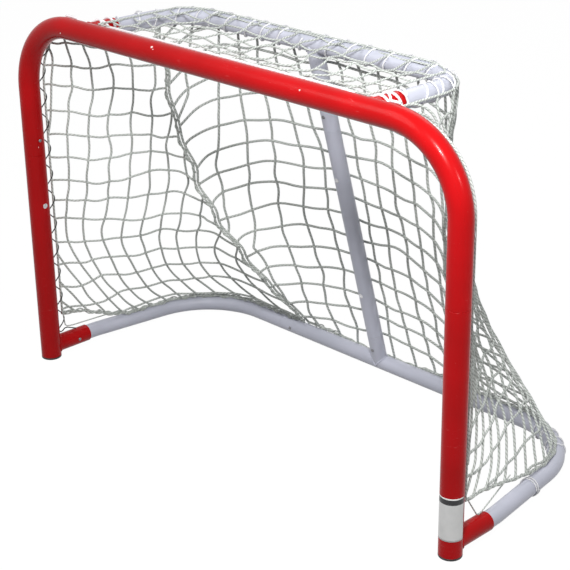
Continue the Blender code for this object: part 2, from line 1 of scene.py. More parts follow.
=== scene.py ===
"""Render model of a knock-down street hockey goal.

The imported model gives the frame. Each class below builds one sub-assembly over it: steel tubes,
welds, fasteners, foot caps, the knotted net, its lacings and the studio round it.
"""

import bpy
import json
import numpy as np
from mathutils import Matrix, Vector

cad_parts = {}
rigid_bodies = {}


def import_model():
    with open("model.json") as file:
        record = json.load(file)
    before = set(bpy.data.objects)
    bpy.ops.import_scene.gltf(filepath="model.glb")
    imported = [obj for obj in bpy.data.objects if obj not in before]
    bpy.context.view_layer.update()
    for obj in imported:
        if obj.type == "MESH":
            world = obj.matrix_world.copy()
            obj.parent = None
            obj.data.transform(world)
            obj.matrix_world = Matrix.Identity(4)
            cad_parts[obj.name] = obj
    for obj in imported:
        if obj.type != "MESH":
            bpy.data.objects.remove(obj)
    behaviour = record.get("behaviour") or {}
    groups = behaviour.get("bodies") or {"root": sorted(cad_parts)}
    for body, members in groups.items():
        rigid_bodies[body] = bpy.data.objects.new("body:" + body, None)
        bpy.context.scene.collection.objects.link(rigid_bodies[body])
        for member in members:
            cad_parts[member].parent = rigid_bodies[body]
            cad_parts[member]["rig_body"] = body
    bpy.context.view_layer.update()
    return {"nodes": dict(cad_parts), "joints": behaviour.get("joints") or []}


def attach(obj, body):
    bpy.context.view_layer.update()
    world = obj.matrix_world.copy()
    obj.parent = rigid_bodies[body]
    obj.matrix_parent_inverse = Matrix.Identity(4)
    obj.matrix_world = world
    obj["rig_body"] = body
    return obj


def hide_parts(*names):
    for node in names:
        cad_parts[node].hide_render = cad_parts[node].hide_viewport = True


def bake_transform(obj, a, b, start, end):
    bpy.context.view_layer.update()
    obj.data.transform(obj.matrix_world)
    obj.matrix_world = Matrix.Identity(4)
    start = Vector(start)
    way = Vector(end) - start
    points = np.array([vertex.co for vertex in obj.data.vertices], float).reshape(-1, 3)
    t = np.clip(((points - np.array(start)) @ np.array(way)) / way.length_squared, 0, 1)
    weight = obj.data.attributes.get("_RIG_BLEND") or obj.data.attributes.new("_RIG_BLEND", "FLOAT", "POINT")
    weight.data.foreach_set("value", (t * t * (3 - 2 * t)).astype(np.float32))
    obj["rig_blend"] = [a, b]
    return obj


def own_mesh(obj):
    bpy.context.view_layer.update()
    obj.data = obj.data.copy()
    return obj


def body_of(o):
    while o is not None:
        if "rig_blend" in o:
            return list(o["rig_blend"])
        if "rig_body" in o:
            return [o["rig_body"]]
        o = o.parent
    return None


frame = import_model()

import json
import logging
import math
import random
from abc import ABC, abstractmethod
from dataclasses import dataclass, field
from enum import Enum
from functools import partial
from typing import Any, Callable, Mapping, Sequence

import bmesh
import bpy
from mathutils import Matrix, Vector, noise

logging.basicConfig(level=logging.INFO, format="%(message)s")
LOG = logging.getLogger("goal")

Node, Socket = bpy.types.Node, bpy.types.NodeSocket
Mesh, Piece = bpy.types.Mesh, bpy.types.Object
Colour = tuple[float, float, float]
Route = list[Vector]
X, Y, Z = Vector((1, 0, 0)), Vector((0, 1, 0)), Vector((0, 0, 1))


class Body(str, Enum):
    """The two frames that pieces ride on."""

    FRONT = "front_frame"
    REAR = "rear_frame"


class Side(Enum):
    """Left and right of the mouth, as a shooter sees it."""

    LEFT = -1
    RIGHT = 1

    @property
    def word(self) -> str:
        """The side's name, as the CAD nodes spell it."""
        return self.name.lower()

    @property
    def inward(self) -> Vector:
        """Direction from this side to the middle."""
        return X * -self.value


@dataclass(frozen=True)
class GoalPlan:
    """Sizes and datum lines of the goal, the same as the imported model's, in metres."""

    width: float = 1.372
    height: float = 0.914
    base_depth: float = 0.530
    shelf_depth: float = 0.298
    front_radius: float = 0.0254
    front_wall: float = 0.0015
    rear_radius: float = 0.01905
    rear_wall: float = 0.0012
    bow_bend: float = 0.170
    bow_leg: float = 0.168
    base_taper: float = 0.0506
    base_bend: float = 0.195
    base_kink_depth: float = 0.140
    base_kink_bend: float = 0.250
    base_seam_setback: float = 0.0987
    shelf_inset: float = 0.0606
    shelf_bend: float = 0.112
    sleeve_radius: float = 0.0215
    sleeve_bore: float = 0.0195
    sleeve_height: float = 0.030
    base_sleeve: float = 0.115
    shelf_sleeve: float = 0.085
    base_plug: float = 0.055
    shelf_plug: float = 0.048
    base_tee: float = 0.085
    shelf_tee: float = 0.215
    button_inset: float = 0.038
    rivet_inset: float = 0.131
    bow_rivet: float = 0.147
    gap: float = 0.0003
    net_edge: float = 0.043
    net_foot: float = 0.036
    net_cord: float = 0.0040
    net_gap: float = 0.0005
    net_seam: float = 0.007
    top_net_edge: float = 0.022
    seam_foot_setback: float = 0.178
    seam_head_reach: float = 0.192
    seam_sag: float = 0.106
    taut_seam_sag: float = 0.048
    seam_stitches: int = 15
    seam_kink: float = 0.042
    taut_seam_kink: float = 0.012
    side_sag: float = 0.092
    taut_side_sag: float = 0.104
    flat_back: float = 0.2
    foot_turn: float = math.radians(70)

    @property
    def post_x(self) -> float:
        """Distance of each post's axis from the middle."""
        return self.width / 2 - self.front_radius

    @property
    def crossbar_z(self) -> float:
        """Height of the crossbar's axis."""
        return self.height - self.front_radius

    @property
    def seam_z(self) -> float:
        """Height of the joint between bow and post."""
        return self.crossbar_z - self.bow_bend - self.bow_leg

    @property
    def tilt(self) -> float:
        """Slope of the rear frame towards the floor."""
        return math.asin((self.sleeve_height - self.rear_radius) / self.base_depth)

    @property
    def net_offset(self) -> float:
        """Distance from a rear tube's axis to the net that lies on it."""
        return self.rear_radius + self.net_gap + self.net_cord / 2

    @property
    def post_y(self) -> float:
        """The front frame's plane."""
        reach = self.base_depth * math.cos(self.tilt) + self.net_offset + self.net_cord / 2
        return (self.front_radius - reach) / 2

    @property
    def shelf_half(self) -> float:
        """Distance of the top rail's arms from the middle."""
        return self.post_x - self.bow_bend - self.shelf_inset

    @property
    def base_half(self) -> float:
        """Half the back run of the base rail, before its bends are rounded."""
        return self.post_x - self.base_taper

    @property
    def base_bend_end(self) -> float:
        """Where the back run turns straight."""
        turn = math.pi / 2 - math.atan2(self.base_taper, self.base_depth - self.base_kink_depth)
        return self.base_half - self.base_bend * math.tan(turn / 2)

    @property
    def base_seam(self) -> float:
        """Distance of each seam of the back run from the middle."""
        return self.base_bend_end - self.base_seam_setback

    @property
    def seam_foot(self) -> float:
        """Distance of each corner seam's foot from the middle."""
        return self.base_bend_end - self.seam_foot_setback

    @property
    def foot_offset(self) -> float:
        """Distance from the base rail's axis to a side net's foot."""
        return self.sleeve_radius + self.net_gap + self.net_cord / 2

    @property
    def head_offset(self) -> float:
        """Distance from the top rail's axis to the nets that hang from it."""
        return self.sleeve_radius + 1.5 * self.net_cord

    def seam(self, side: Side) -> Vector:
        """Point on a post's axis where bow and post meet."""
        return Vector((side.value * self.post_x, self.post_y, self.seam_z))

    def locks(self) -> dict[str, tuple[Vector, Vector]]:
        """Each snap button's point on its tube's axis, and the way that it faces."""
        found = {}
        inset = self.button_inset
        for side in Side:
            way = side.value
            found[side.word + "_post"] = (self.seam(side) + Z * inset, side.inward)
            found[side.word + "_base"] = (
                self.base(way * self.post_x, self.base_sleeve - inset), side.inward)
            found[side.word + "_shelf"] = (
                self.shelf(way * self.shelf_half, self.shelf_sleeve - inset), side.inward)
            found[side.word + "_rail"] = (
                self.base(way * (self.base_seam - inset), self.base_depth), -self.back())
        found["lower_brace"] = (self.brace(self.base_tee - inset), self.brace_front())
        upper = self.brace_length() - self.shelf_tee + inset
        found["upper_brace"] = (self.brace(upper), self.brace_front())
        return found

    def back(self) -> Vector:
        """Direction from the mouth to the back, along the rails."""
        return Vector((0, math.cos(self.tilt), -math.sin(self.tilt)))

    def rise(self) -> Vector:
        """Direction square to the rails, upwards."""
        return Vector((0, math.sin(self.tilt), math.cos(self.tilt)))

    def base(self, x: float, depth: float, lift: float = 0.0) -> Vector:
        """Point in the base rail's plane."""
        start = Vector((x, self.post_y, self.sleeve_height))
        return start + self.back() * depth + self.rise() * lift

    def shelf(self, x: float, depth: float, lift: float = 0.0) -> Vector:
        """Point in the top rail's plane."""
        start = Vector((x, self.post_y, self.crossbar_z))
        return start + self.back() * depth + self.rise() * lift

    def brace(self, distance: float) -> Vector:
        """Point on the brace's axis, from the base rail up."""
        return self.base(0, self.base_depth) + self.brace_axis() * distance

    def brace_axis(self) -> Vector:
        """Direction of the brace."""
        return (self.shelf(0, self.shelf_depth) - self.base(0, self.base_depth)).normalized()

    def brace_length(self) -> float:
        """Length of the brace between the rails' axes."""
        return (self.shelf(0, self.shelf_depth) - self.base(0, self.base_depth)).length

    def brace_front(self) -> Vector:
        """Direction out of the brace's front."""
        axis = self.brace_axis()
        return (-Y + axis * Y.dot(axis)).normalized()


PLAN = GoalPlan()
# Unless it is given a seed, the noise in the net starts from the clock and differs each run.
NET_SEED = 1


def rounded(corners: Sequence[Vector], radii: Sequence[float], steps: int = 20) -> Route:
    """Route through corners, each rounded by an arc.

    Args:
        corners: The route's corners, its two ends among them.
        radii: One radius for each inner corner.
        steps: Lengths that each arc is divided into.

    Returns:
        The route's points.
    """
    route = [corners[0].copy()]
    for before, corner, after, radius in zip(corners, corners[1:], corners[2:], radii):
        back, ahead = (before - corner).normalized(), (after - corner).normalized()
        half = back.angle(ahead) / 2
        centre = corner + (back + ahead).normalized() * radius / math.sin(half)
        start = corner + back * radius / math.tan(half) - centre
        axis = (-back).cross(ahead).normalized()
        for n in range(steps + 1):
            turn = Matrix.Rotation((math.pi - 2 * half) * n / steps, 3, axis)
            route.append(centre + turn @ start)
    route.append(corners[-1].copy())
    return route


class Walk:
    """A route that can be walked by its length."""

    def __init__(self, route: Sequence[Vector]) -> None:
        """Measure the route.

        Args:
            route: Its points.
        """
        self.route = [point.copy() for point in route]
        self.marks = [0.0]
        for a, b in zip(self.route, self.route[1:]):
            self.marks.append(self.marks[-1] + (b - a).length)

    @property
    def length(self) -> float:
        """The route's whole length."""
        return self.marks[-1]

    def at(self, distance: float) -> Vector:
        """Point at a distance from the start."""
        distance = min(max(distance, 0.0), self.length)
        low = 0
        while low < len(self.marks) - 2 and self.marks[low + 1] < distance:
            low += 1
        span = self.marks[low + 1] - self.marks[low]
        share = (distance - self.marks[low]) / span if span else 0.0
        return self.route[low].lerp(self.route[low + 1], share)

    def share(self, part: float) -> Vector:
        """Point at a share of the length."""
        return self.at(part * self.length)

    def heading(self, distance: float, reach: float = 0.002) -> Vector:
        """Direction of the route at a distance."""
        return (self.at(distance + reach) - self.at(distance - reach)).normalized()


# Node trees


@dataclass
class Graph:
    """A shader or geometry tree under construction."""

    tree: bpy.types.NodeTree

    @staticmethod
    def socket(sockets: Any, key: int | str) -> Socket:
        """Find a socket by index, identifier or name."""
        if isinstance(key, int):
            return sockets[key]
        for found in sockets:
            if found.identifier == key:
                return found
        for found in sockets:
            if found.name == key and found.enabled:
                return found
        raise KeyError(key)

    def feed(self, node: Node, key: int | str, value: Any) -> None:
        """Set or link one input.

        Args:
            node: The node that is fed.
            key: Index, identifier or name of its input.
            value: A number, colour, Signal or socket.
        """
        entry = self.socket(node.inputs, key)
        if isinstance(value, Signal):
            value = value.source
        if isinstance(value, Socket):
            self.tree.links.new(value, entry)
        else:
            entry.default_value = value

    def node(
        self,
        kind: str,
        settings: Mapping[str, Any] | None = None,
        feeds: Mapping[int | str, Any] | None = None,
    ) -> Node:
        """Add a node.

        Args:
            kind: The node's type.
            settings: Its properties, or "stops" for a ramp.
            feeds: Values and links of its inputs.

        Returns:
            The new node.
        """
        made = self.tree.nodes.new(kind)
        for name, value in (settings or {}).items():
            if name == "stops":
                self.stops(made, value)
            else:
                setattr(made, name, value)
        self.feed_all(made, feeds or {})
        return made

    def feed_all(self, node: Node, feeds: Mapping[int | str, Any]) -> None:
        """Set or link several inputs."""
        for key, value in feeds.items():
            self.feed(node, key, value)

    @staticmethod
    def stops(ramp: Node, stops: Sequence[tuple[float, float]]) -> None:
        """Give a colour ramp its grey stops."""
        elements = ramp.color_ramp.elements
        while len(elements) > len(stops):
            elements.remove(elements[-1])
        while len(elements) < len(stops):
            elements.new(1.0)
        for element, (place, value) in zip(elements, stops):
            element.position = place
            element.color = (value, value, value, 1)

    def signal(self, node: Node, key: int | str = 0) -> "Signal":
        """One output of a node as a signal."""
        return Signal(self, self.socket(node.outputs, key))


@dataclass
class Signal:
    """A socket's value, for use in Python expressions."""

    graph: Graph
    source: Socket

    def _math(self, operation: str, *values: Any) -> "Signal":
        """Add a Math node.

        Args:
            operation: The node's operation.
            values: Its inputs, in order.

        Returns:
            The result.
        """
        feeds = dict(enumerate(values))
        return self.graph.signal(self.graph.node("ShaderNodeMath", {"operation": operation}, feeds))

    def __add__(self, other: Any) -> "Signal":
        """Sum."""
        return self._math("ADD", self, other)

    __radd__ = __add__

    def __sub__(self, other: Any) -> "Signal":
        """Difference."""
        return self._math("SUBTRACT", self, other)

    def __rsub__(self, other: Any) -> "Signal":
        """Reflected difference."""
        return self._math("SUBTRACT", other, self)

    def __mul__(self, other: Any) -> "Signal":
        """Product."""
        return self._math("MULTIPLY", self, other)

    def __truediv__(self, other: Any) -> "Signal":
        """Quotient."""
        return self._math("DIVIDE", self, other)

    def sine(self) -> "Signal":
        """Sine of an angle in radians."""
        return self._math("SINE", self)

    def size(self) -> "Signal":
        """Absolute value."""
        return self._math("ABSOLUTE", self)

    def largest(self, other: Any) -> "Signal":
        """The larger of two values."""
        return self._math("MAXIMUM", self, other)

    def step(self, low: float, high: float) -> "Signal":
        """Smooth step from 0 at low to 1 at high."""
        node = self.graph.node(
            "ShaderNodeMapRange",
            {"interpolation_type": "SMOOTHSTEP"},
            {"Value": self, "From Min": low, "From Max": high, "To Min": 0.0, "To Max": 1.0},
        )
        return self.graph.signal(node, "Result")


class Finish(ABC):
    """A surface finish that makes one material and is shared by its pieces."""

    label: str
    slot: str

    @property
    def material(self) -> bpy.types.Material:
        """The material, made on first use."""
        made = bpy.data.materials.get(self.label)
        if made is None:
            made = bpy.data.materials.new(self.label)
            made.use_nodes = True
            graph = Graph(made.node_tree)
            self.dress(graph, made.node_tree.nodes["Principled BSDF"])
        return made

    @abstractmethod
    def dress(self, graph: Graph, shader: Node) -> None:
        """Feed the shader.

        Args:
            graph: The material's tree.
            shader: Its Principled node.
        """

    @staticmethod
    def noise(graph: Graph, scale: float, detail: float = 2.0, stretch: Colour = (1, 1, 1),
              rough: float = 0.5) -> Signal:
        """Noise on Object coordinates.

        Args:
            graph: The material's tree.
            scale: Waves in a metre.
            detail: Octaves.
            stretch: Scale along each axis.
            rough: Strength of the finer octaves.

        Returns:
            The noise, from 0 to 1.
        """
        place = graph.node("ShaderNodeTexCoord")
        turned = graph.node("ShaderNodeMapping", None,
                            {"Vector": Graph.socket(place.outputs, "Object"), "Scale": stretch})
        made = graph.node("ShaderNodeTexNoise", None, {
            "Vector": turned.outputs[0], "Scale": scale, "Detail": detail, "Roughness": rough})
        return graph.signal(made, 0)

    @staticmethod
    def lay_map(graph: Graph) -> tuple[Signal, Signal]:
        """Place round a cord, from 0 to 1, and along it, in metres."""
        place = graph.node("ShaderNodeUVMap", {"uv_map": "lay"})
        split = graph.node("ShaderNodeSeparateXYZ", None, {"Vector": place.outputs[0]})
        return graph.signal(split, 0), graph.signal(split, 1)

    @staticmethod
    def mixed(graph: Graph, share: Any, first: Any, second: Any) -> Signal:
        """Mix of two colours.

        Args:
            graph: The material's tree.
            share: Share of the second colour.
            first: A colour or signal.
            second: A colour or signal.

        Returns:
            The mixed colour.
        """
        def full(colour: Any) -> Any:
            """A colour with its alpha."""
            return (*colour, 1.0) if isinstance(colour, tuple) else colour

        node = graph.node("ShaderNodeMix", {"data_type": "RGBA"}, {
            "Factor_Float": share, "A_Color": full(first), "B_Color": full(second)})
        return graph.signal(node, "Result_Color")

    @staticmethod
    def bump(graph: Graph, height: Signal, strength: float, distance: float,
             under: Any = None) -> Socket:
        """Bump from a height.

        Args:
            graph: The material's tree.
            height: The height, from 0 to 1.
            strength: The node's strength.
            distance: Height of 1, in metres.
            under: A normal that this one is laid over.

        Returns:
            The normal.
        """
        feeds = {"Height": height, "Strength": strength, "Distance": distance}
        if under is not None:
            feeds["Normal"] = under
        return graph.node("ShaderNodeBump", None, feeds).outputs[0]


@dataclass(frozen=True)
class PowderCoat(Finish):
    """Baked powder coat: fine orange peel, drifting tone, rubbed streaks and listed pale spots, small chips
    and painted glints.
    """

    label: str
    slot: str
    colour: Colour
    deep: Colour
    chip: Colour
    roughness: float
    rub: float
    gloss: float
    chips_and_glints: tuple[tuple[float, float, float, float], ...] = ()

    def chip_and_glint_mask(self, graph: Graph) -> Signal | None:
        """1 inside each listed spot, chip and painted glint alike, with a ragged edge.

        Args:
            graph: The material's tree.

        Returns:
            The mask, or None where no spots are listed.
        """
        ragged = self.noise(graph, 420, 3, rough=0.7)
        mask = None
        for x, y, z, radius in self.chips_and_glints:
            place = graph.node("ShaderNodeTexCoord")
            apart = graph.node("ShaderNodeVectorMath", {"operation": "DISTANCE"}, {
                0: Graph.socket(place.outputs, "Object"), 1: (x, y, z)})
            near = (graph.signal(apart, "Value") / radius + ragged * 1.3).step(1.30, 1.22)
            mask = near if mask is None else mask.largest(near)
        return mask

    def dress(self, graph: Graph, shader: Node) -> None:
        """Feed the shader with tone, rubs, chips, painted glints and orange peel."""
        tone = self.noise(graph, 5.5, 3).step(0.32, 0.68)
        colour = self.mixed(graph, tone, self.deep, self.colour)
        patches = self.noise(graph, 11, 2).step(0.50, 0.68)
        streaks = self.noise(graph, 34, 5, (1.0, 1.0, 5.5), 0.72).step(0.60, 0.71)
        rubbed = patches * streaks * self.rub
        colour = self.mixed(graph, rubbed, colour, self.chip)
        specks = self.noise(graph, 300, 1).step(0.79, 0.82) * self.rub
        # Painted highlights: the listed spots are chips, except two on the red coat's left post that are
        # pale glints near its seam.
        mask = self.chip_and_glint_mask(graph)
        bare_and_glints = specks if mask is None else specks.largest(mask)
        colour = self.mixed(graph, bare_and_glints, colour, self.chip)
        peel = self.noise(graph, 330, 2, rough=0.35)
        waves = self.noise(graph, 60, 1)
        normal = self.bump(graph, waves, 0.12, 0.0012)
        normal = self.bump(graph, peel, 0.28, 0.00022, normal)
        normal = self.bump(graph, 1 - bare_and_glints, 0.5, 0.00012, normal)
        graph.feed_all(shader, {
            "Base Color": colour, "Normal": normal, "Specular IOR Level": self.gloss,
            "Roughness": self.roughness + tone * 0.05 + rubbed * 0.25 + bare_and_glints * 0.3,
            "Coat Weight": 0.02, "Coat Roughness": 0.05})


@dataclass(frozen=True)
class Plating(Finish):
    """Zinc-plated steel with faint rolling marks."""

    label: str
    slot: str
    colour: Colour
    roughness: float

    def dress(self, graph: Graph, shader: Node) -> None:
        """Feed the shader with cloudy plating and fine marks."""
        cloud = self.noise(graph, 70, 3)
        dark = tuple(0.72 * c for c in self.colour)
        marks = self.noise(graph, 900, 2, (1, 1, 0.15))
        graph.feed_all(shader, {
            "Base Color": self.mixed(graph, cloud.step(0.3, 0.7), dark, self.colour),
            "Roughness": self.roughness + cloud * 0.15, "Metallic": 1.0,
            "Normal": self.bump(graph, marks, 0.15, 0.00005)})


@dataclass(frozen=True)
class Moulding(Finish):
    """Moulded plastic or rubber with a spark-eroded grain."""

    label: str
    slot: str
    colour: Colour
    dust: Colour
    roughness: float

    def dress(self, graph: Graph, shader: Node) -> None:
        """Feed the shader with grain and dust."""
        dusty = self.noise(graph, 90, 4).step(0.48, 0.75) * 0.55
        grain = self.noise(graph, 1500, 2)
        graph.feed_all(shader, {
            "Base Color": self.mixed(graph, dusty, self.colour, self.dust),
            "Roughness": self.roughness + dusty * 0.2,
            "Normal": self.bump(graph, grain, 0.35, 0.0001)})


@dataclass(frozen=True)
class Twine(Finish):
    """Laid cord: plies that wind round it, with fibres, painted shade in the grooves between them and a
    little soil.
    """

    label: str
    slot: str
    colour: Colour
    groove_shade: Colour
    plies: int
    lay: float
    soil: float = 0.25

    def dress(self, graph: Graph, shader: Node) -> None:
        """Feed the shader with plies, fibres and their painted groove shade on the cord's own map."""
        round_it, along = self.lay_map(graph)
        turn = (round_it * self.plies + along / self.lay) * math.tau
        ply = (turn.sine() + 1) * 0.5
        fibre_turn = (round_it * self.plies * 7 - along / (self.lay * 0.4)) * math.tau
        fibre = (fibre_turn.sine() + 1) * 0.5
        soiled = self.noise(graph, 14, 4).step(0.40, 0.72) * self.soil
        # Painted shade: the grooves between fibres and between plies are darkened towards the groove colour.
        crown = self.mixed(graph, fibre * 0.16, self.colour, self.groove_shade)
        colour = self.mixed(graph, 1 - ply.step(0.02, 0.55), crown, self.groove_shade)
        colour = self.mixed(graph, soiled, colour, tuple(0.66 * c for c in self.groove_shade))
        normal = self.bump(graph, ply, 0.8, 0.0005)
        graph.feed_all(shader, {
            "Base Color": colour, "Roughness": 0.88 - ply * 0.12,
            "Normal": self.bump(graph, fibre, 0.35, 0.00012, normal),
            "Sheen Weight": 0.25, "Sheen Roughness": 0.5})


@dataclass(frozen=True)
class Braid(Finish):
    """Braided lace: two families of yarns that cross, with a painted highlight on their crowns."""

    label: str
    slot: str
    colour: Colour
    high: Colour
    yarns: int
    lay: float

    def dress(self, graph: Graph, shader: Node) -> None:
        """Feed the shader with the crossing yarns and the painted highlight on their crowns."""
        round_it, along = self.lay_map(graph)
        one = ((round_it * self.yarns + along / self.lay) * math.tau).sine()
        two = ((round_it * self.yarns - along / self.lay) * math.tau).sine()
        yarn = (one * two).size()
        # Painted highlight: the crowns of the yarns are lightened towards the high colour.
        graph.feed_all(shader, {
            "Base Color": self.mixed(graph, yarn * 0.6, self.colour, self.high),
            "Normal": self.bump(graph, yarn, 0.9, 0.0003), "Roughness": 0.8 - yarn * 0.1})


@dataclass(frozen=True)
class Film(Finish):
    """Bare adhesive film with one printed band across its head."""

    label: str
    slot: str
    colour: Colour
    band: Colour
    band_foot: float
    band_head: float

    def dress(self, graph: Graph, shader: Node) -> None:
        """Feed the shader with the band, scuffs and wrinkles."""
        place = graph.node("ShaderNodeTexCoord")
        split = graph.node("ShaderNodeSeparateXYZ", None,
                           {"Vector": Graph.socket(place.outputs, "Object")})
        height = graph.signal(split, 2)
        soft = 0.0002
        printed = height.step(self.band_foot - soft, self.band_foot + soft) * (
            1 - height.step(self.band_head - soft, self.band_head + soft))
        worn = self.noise(graph, 130, 5, rough=0.75).step(0.60, 0.70)
        paper = self.mixed(graph, self.noise(graph, 40, 3).step(0.35, 0.8) * 0.3, self.colour,
                           tuple(0.72 * c for c in self.colour))
        wrinkles = self.noise(graph, 55, 2, (1, 1, 0.4))
        graph.feed_all(shader, {
            "Base Color": self.mixed(graph, printed * (1 - worn * 0.45), paper, self.band),
            "Roughness": 0.34 + worn * 0.2,
            "Normal": self.bump(graph, wrinkles, 0.25, 0.0006)})


RED = PowderCoat(
    "red powder coat", "red_powder_coat", (0.48, 0.004, 0.006), (0.40, 0.003, 0.004),
    (0.80, 0.62, 0.60), 0.22, 0.10, 0.10,
    chips_and_glints=((-0.4879, -0.2889, 0.8836, 0.0032), (-0.1762, -0.2822, 0.9064, 0.0050),
           (-0.1700, -0.2840, 0.9020, 0.0030), (0.2690, -0.2862, 0.9010, 0.0026),
           # Painted highlights: these two pale spots on the left post, above its seam, stand for glints and
           # are not chips.
           (-0.6358, -0.2696, 0.5729, 0.0018), (-0.6412, -0.2712, 0.5729, 0.0018)),
)
WHITE = PowderCoat(
    "white powder coat", "white_powder_coat", (0.57, 0.58, 0.67), (0.50, 0.515, 0.595),
    (0.34, 0.34, 0.35), 0.34, 0.22, 0.4,
)
STEEL = Plating("zinc plated steel", "plated_steel", (0.62, 0.62, 0.64), 0.24)
BUTTON = Plating("tumbled steel button", "plated_steel", (0.24, 0.24, 0.25), 0.34)
CAP = Moulding("black moulded cap", "black_cap", (0.010, 0.010, 0.011), (0.09, 0.085, 0.08), 0.5)
# The second colour of the twine and of the rope is painted shade for the grooves between their plies.
TWINE = Twine("net twine", "net_cord", (0.67, 0.70, 0.67), (0.34, 0.37, 0.335), 2, 0.0095)
ROPE = Twine("border rope", "net_cord", (0.88, 0.88, 0.90), (0.72, 0.72, 0.74), 3, 0.012, 0.04)
# The lace's second colour is a painted highlight on the crowns of its yarns.
LACE = Braid("black lace", "black_lace", (0.004, 0.004, 0.004), (0.030, 0.029, 0.028), 4, 0.004)


# Mesh makers


def linked(name: str, data: bpy.types.ID) -> Piece:
    """New object for a mesh, lamp or camera, linked to the scene."""
    made = bpy.data.objects.new(name, data)
    bpy.context.scene.collection.objects.link(made)
    return made


def made_mesh(shape: bmesh.types.BMesh, name: str) -> Mesh:
    """Plain mesh of a finished shape, which is freed."""
    mesh = bpy.data.meshes.new(name)
    shape.to_mesh(mesh)
    shape.free()
    return mesh


def new_object(name: str, mesh: Mesh, finish: Finish) -> Piece:
    """Link an object for a mesh and give it a finish.

    Args:
        name: The piece's name.
        mesh: Its mesh.
        finish: Its finish.

    Returns:
        The object.
    """
    mesh.materials.clear()
    mesh.materials.append(finish.material)
    return linked(name, mesh)


def settle(piece: Piece, finish: Finish, body: Body | str, *nodes: str) -> None:
    """Make a finished piece ride on a body in the place of CAD nodes.

    Args:
        piece: The piece.
        finish: Not used.
        body: The body that it rides on.
        nodes: The CAD nodes that it stands for.
    """
    if nodes:
        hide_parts(*nodes)
    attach(piece, body.value if isinstance(body, Body) else body)
    LOG.info("%s: %d faces", piece.name, len(piece.data.polygons))


def baked(thing: Piece) -> Mesh:
    """The evaluated mesh of a helper object, which is removed with its own data.

    Args:
        thing: The helper, linked to the scene.

    Returns:
        A plain mesh.
    """
    bpy.context.view_layer.update()
    graph = bpy.context.evaluated_depsgraph_get()
    mesh = bpy.data.meshes.new_from_object(thing.evaluated_get(graph), depsgraph=graph)
    bpy.data.objects.remove(thing, do_unlink=True)
    return mesh


def smooth(mesh: Mesh, angle: float = 35) -> None:
    """Shade a mesh smooth up to an angle in degrees."""
    mesh.shade_smooth()
    mesh.set_sharp_from_angle(angle=math.radians(angle))


def saddle(point: Vector, heading: Vector, centre: Vector, axis: Vector, radius: float) -> float:
    """Distance from a point, along a heading, to the far side of a cylinder.

    Args:
        point: Where the way starts, inside the cylinder.
        heading: Its direction.
        centre: A point on the cylinder's axis.
        axis: The axis's direction.
        radius: The cylinder's radius.

    Returns:
        The distance.
    """
    start = point - centre
    start = start - axis * start.dot(axis)
    way = heading - axis * heading.dot(axis)
    a, b, c = way.length_squared, 2 * start.dot(way), start.length_squared - radius * radius
    return (-b + math.sqrt(max(b * b - 4 * a * c, 0))) / (2 * a)


@dataclass(frozen=True)
class Bore:
    """A round hole through one wall of a tube."""

    place: Vector
    outward: Vector
    radius: float = 0.0043
    length: float = 0.03
    middle: float = 0.021

    def tool(self) -> Piece:
        """The cylinder that cuts it."""
        shape = bmesh.new()
        bmesh.ops.create_cone(shape, cap_ends=True, segments=28, radius1=self.radius,
                              radius2=self.radius, depth=self.length)
        shape.transform(facing(self.place + self.outward * self.middle, self.outward))
        return linked("bore", made_mesh(shape, "bore"))


Reach = Callable[[Vector, Vector], float]


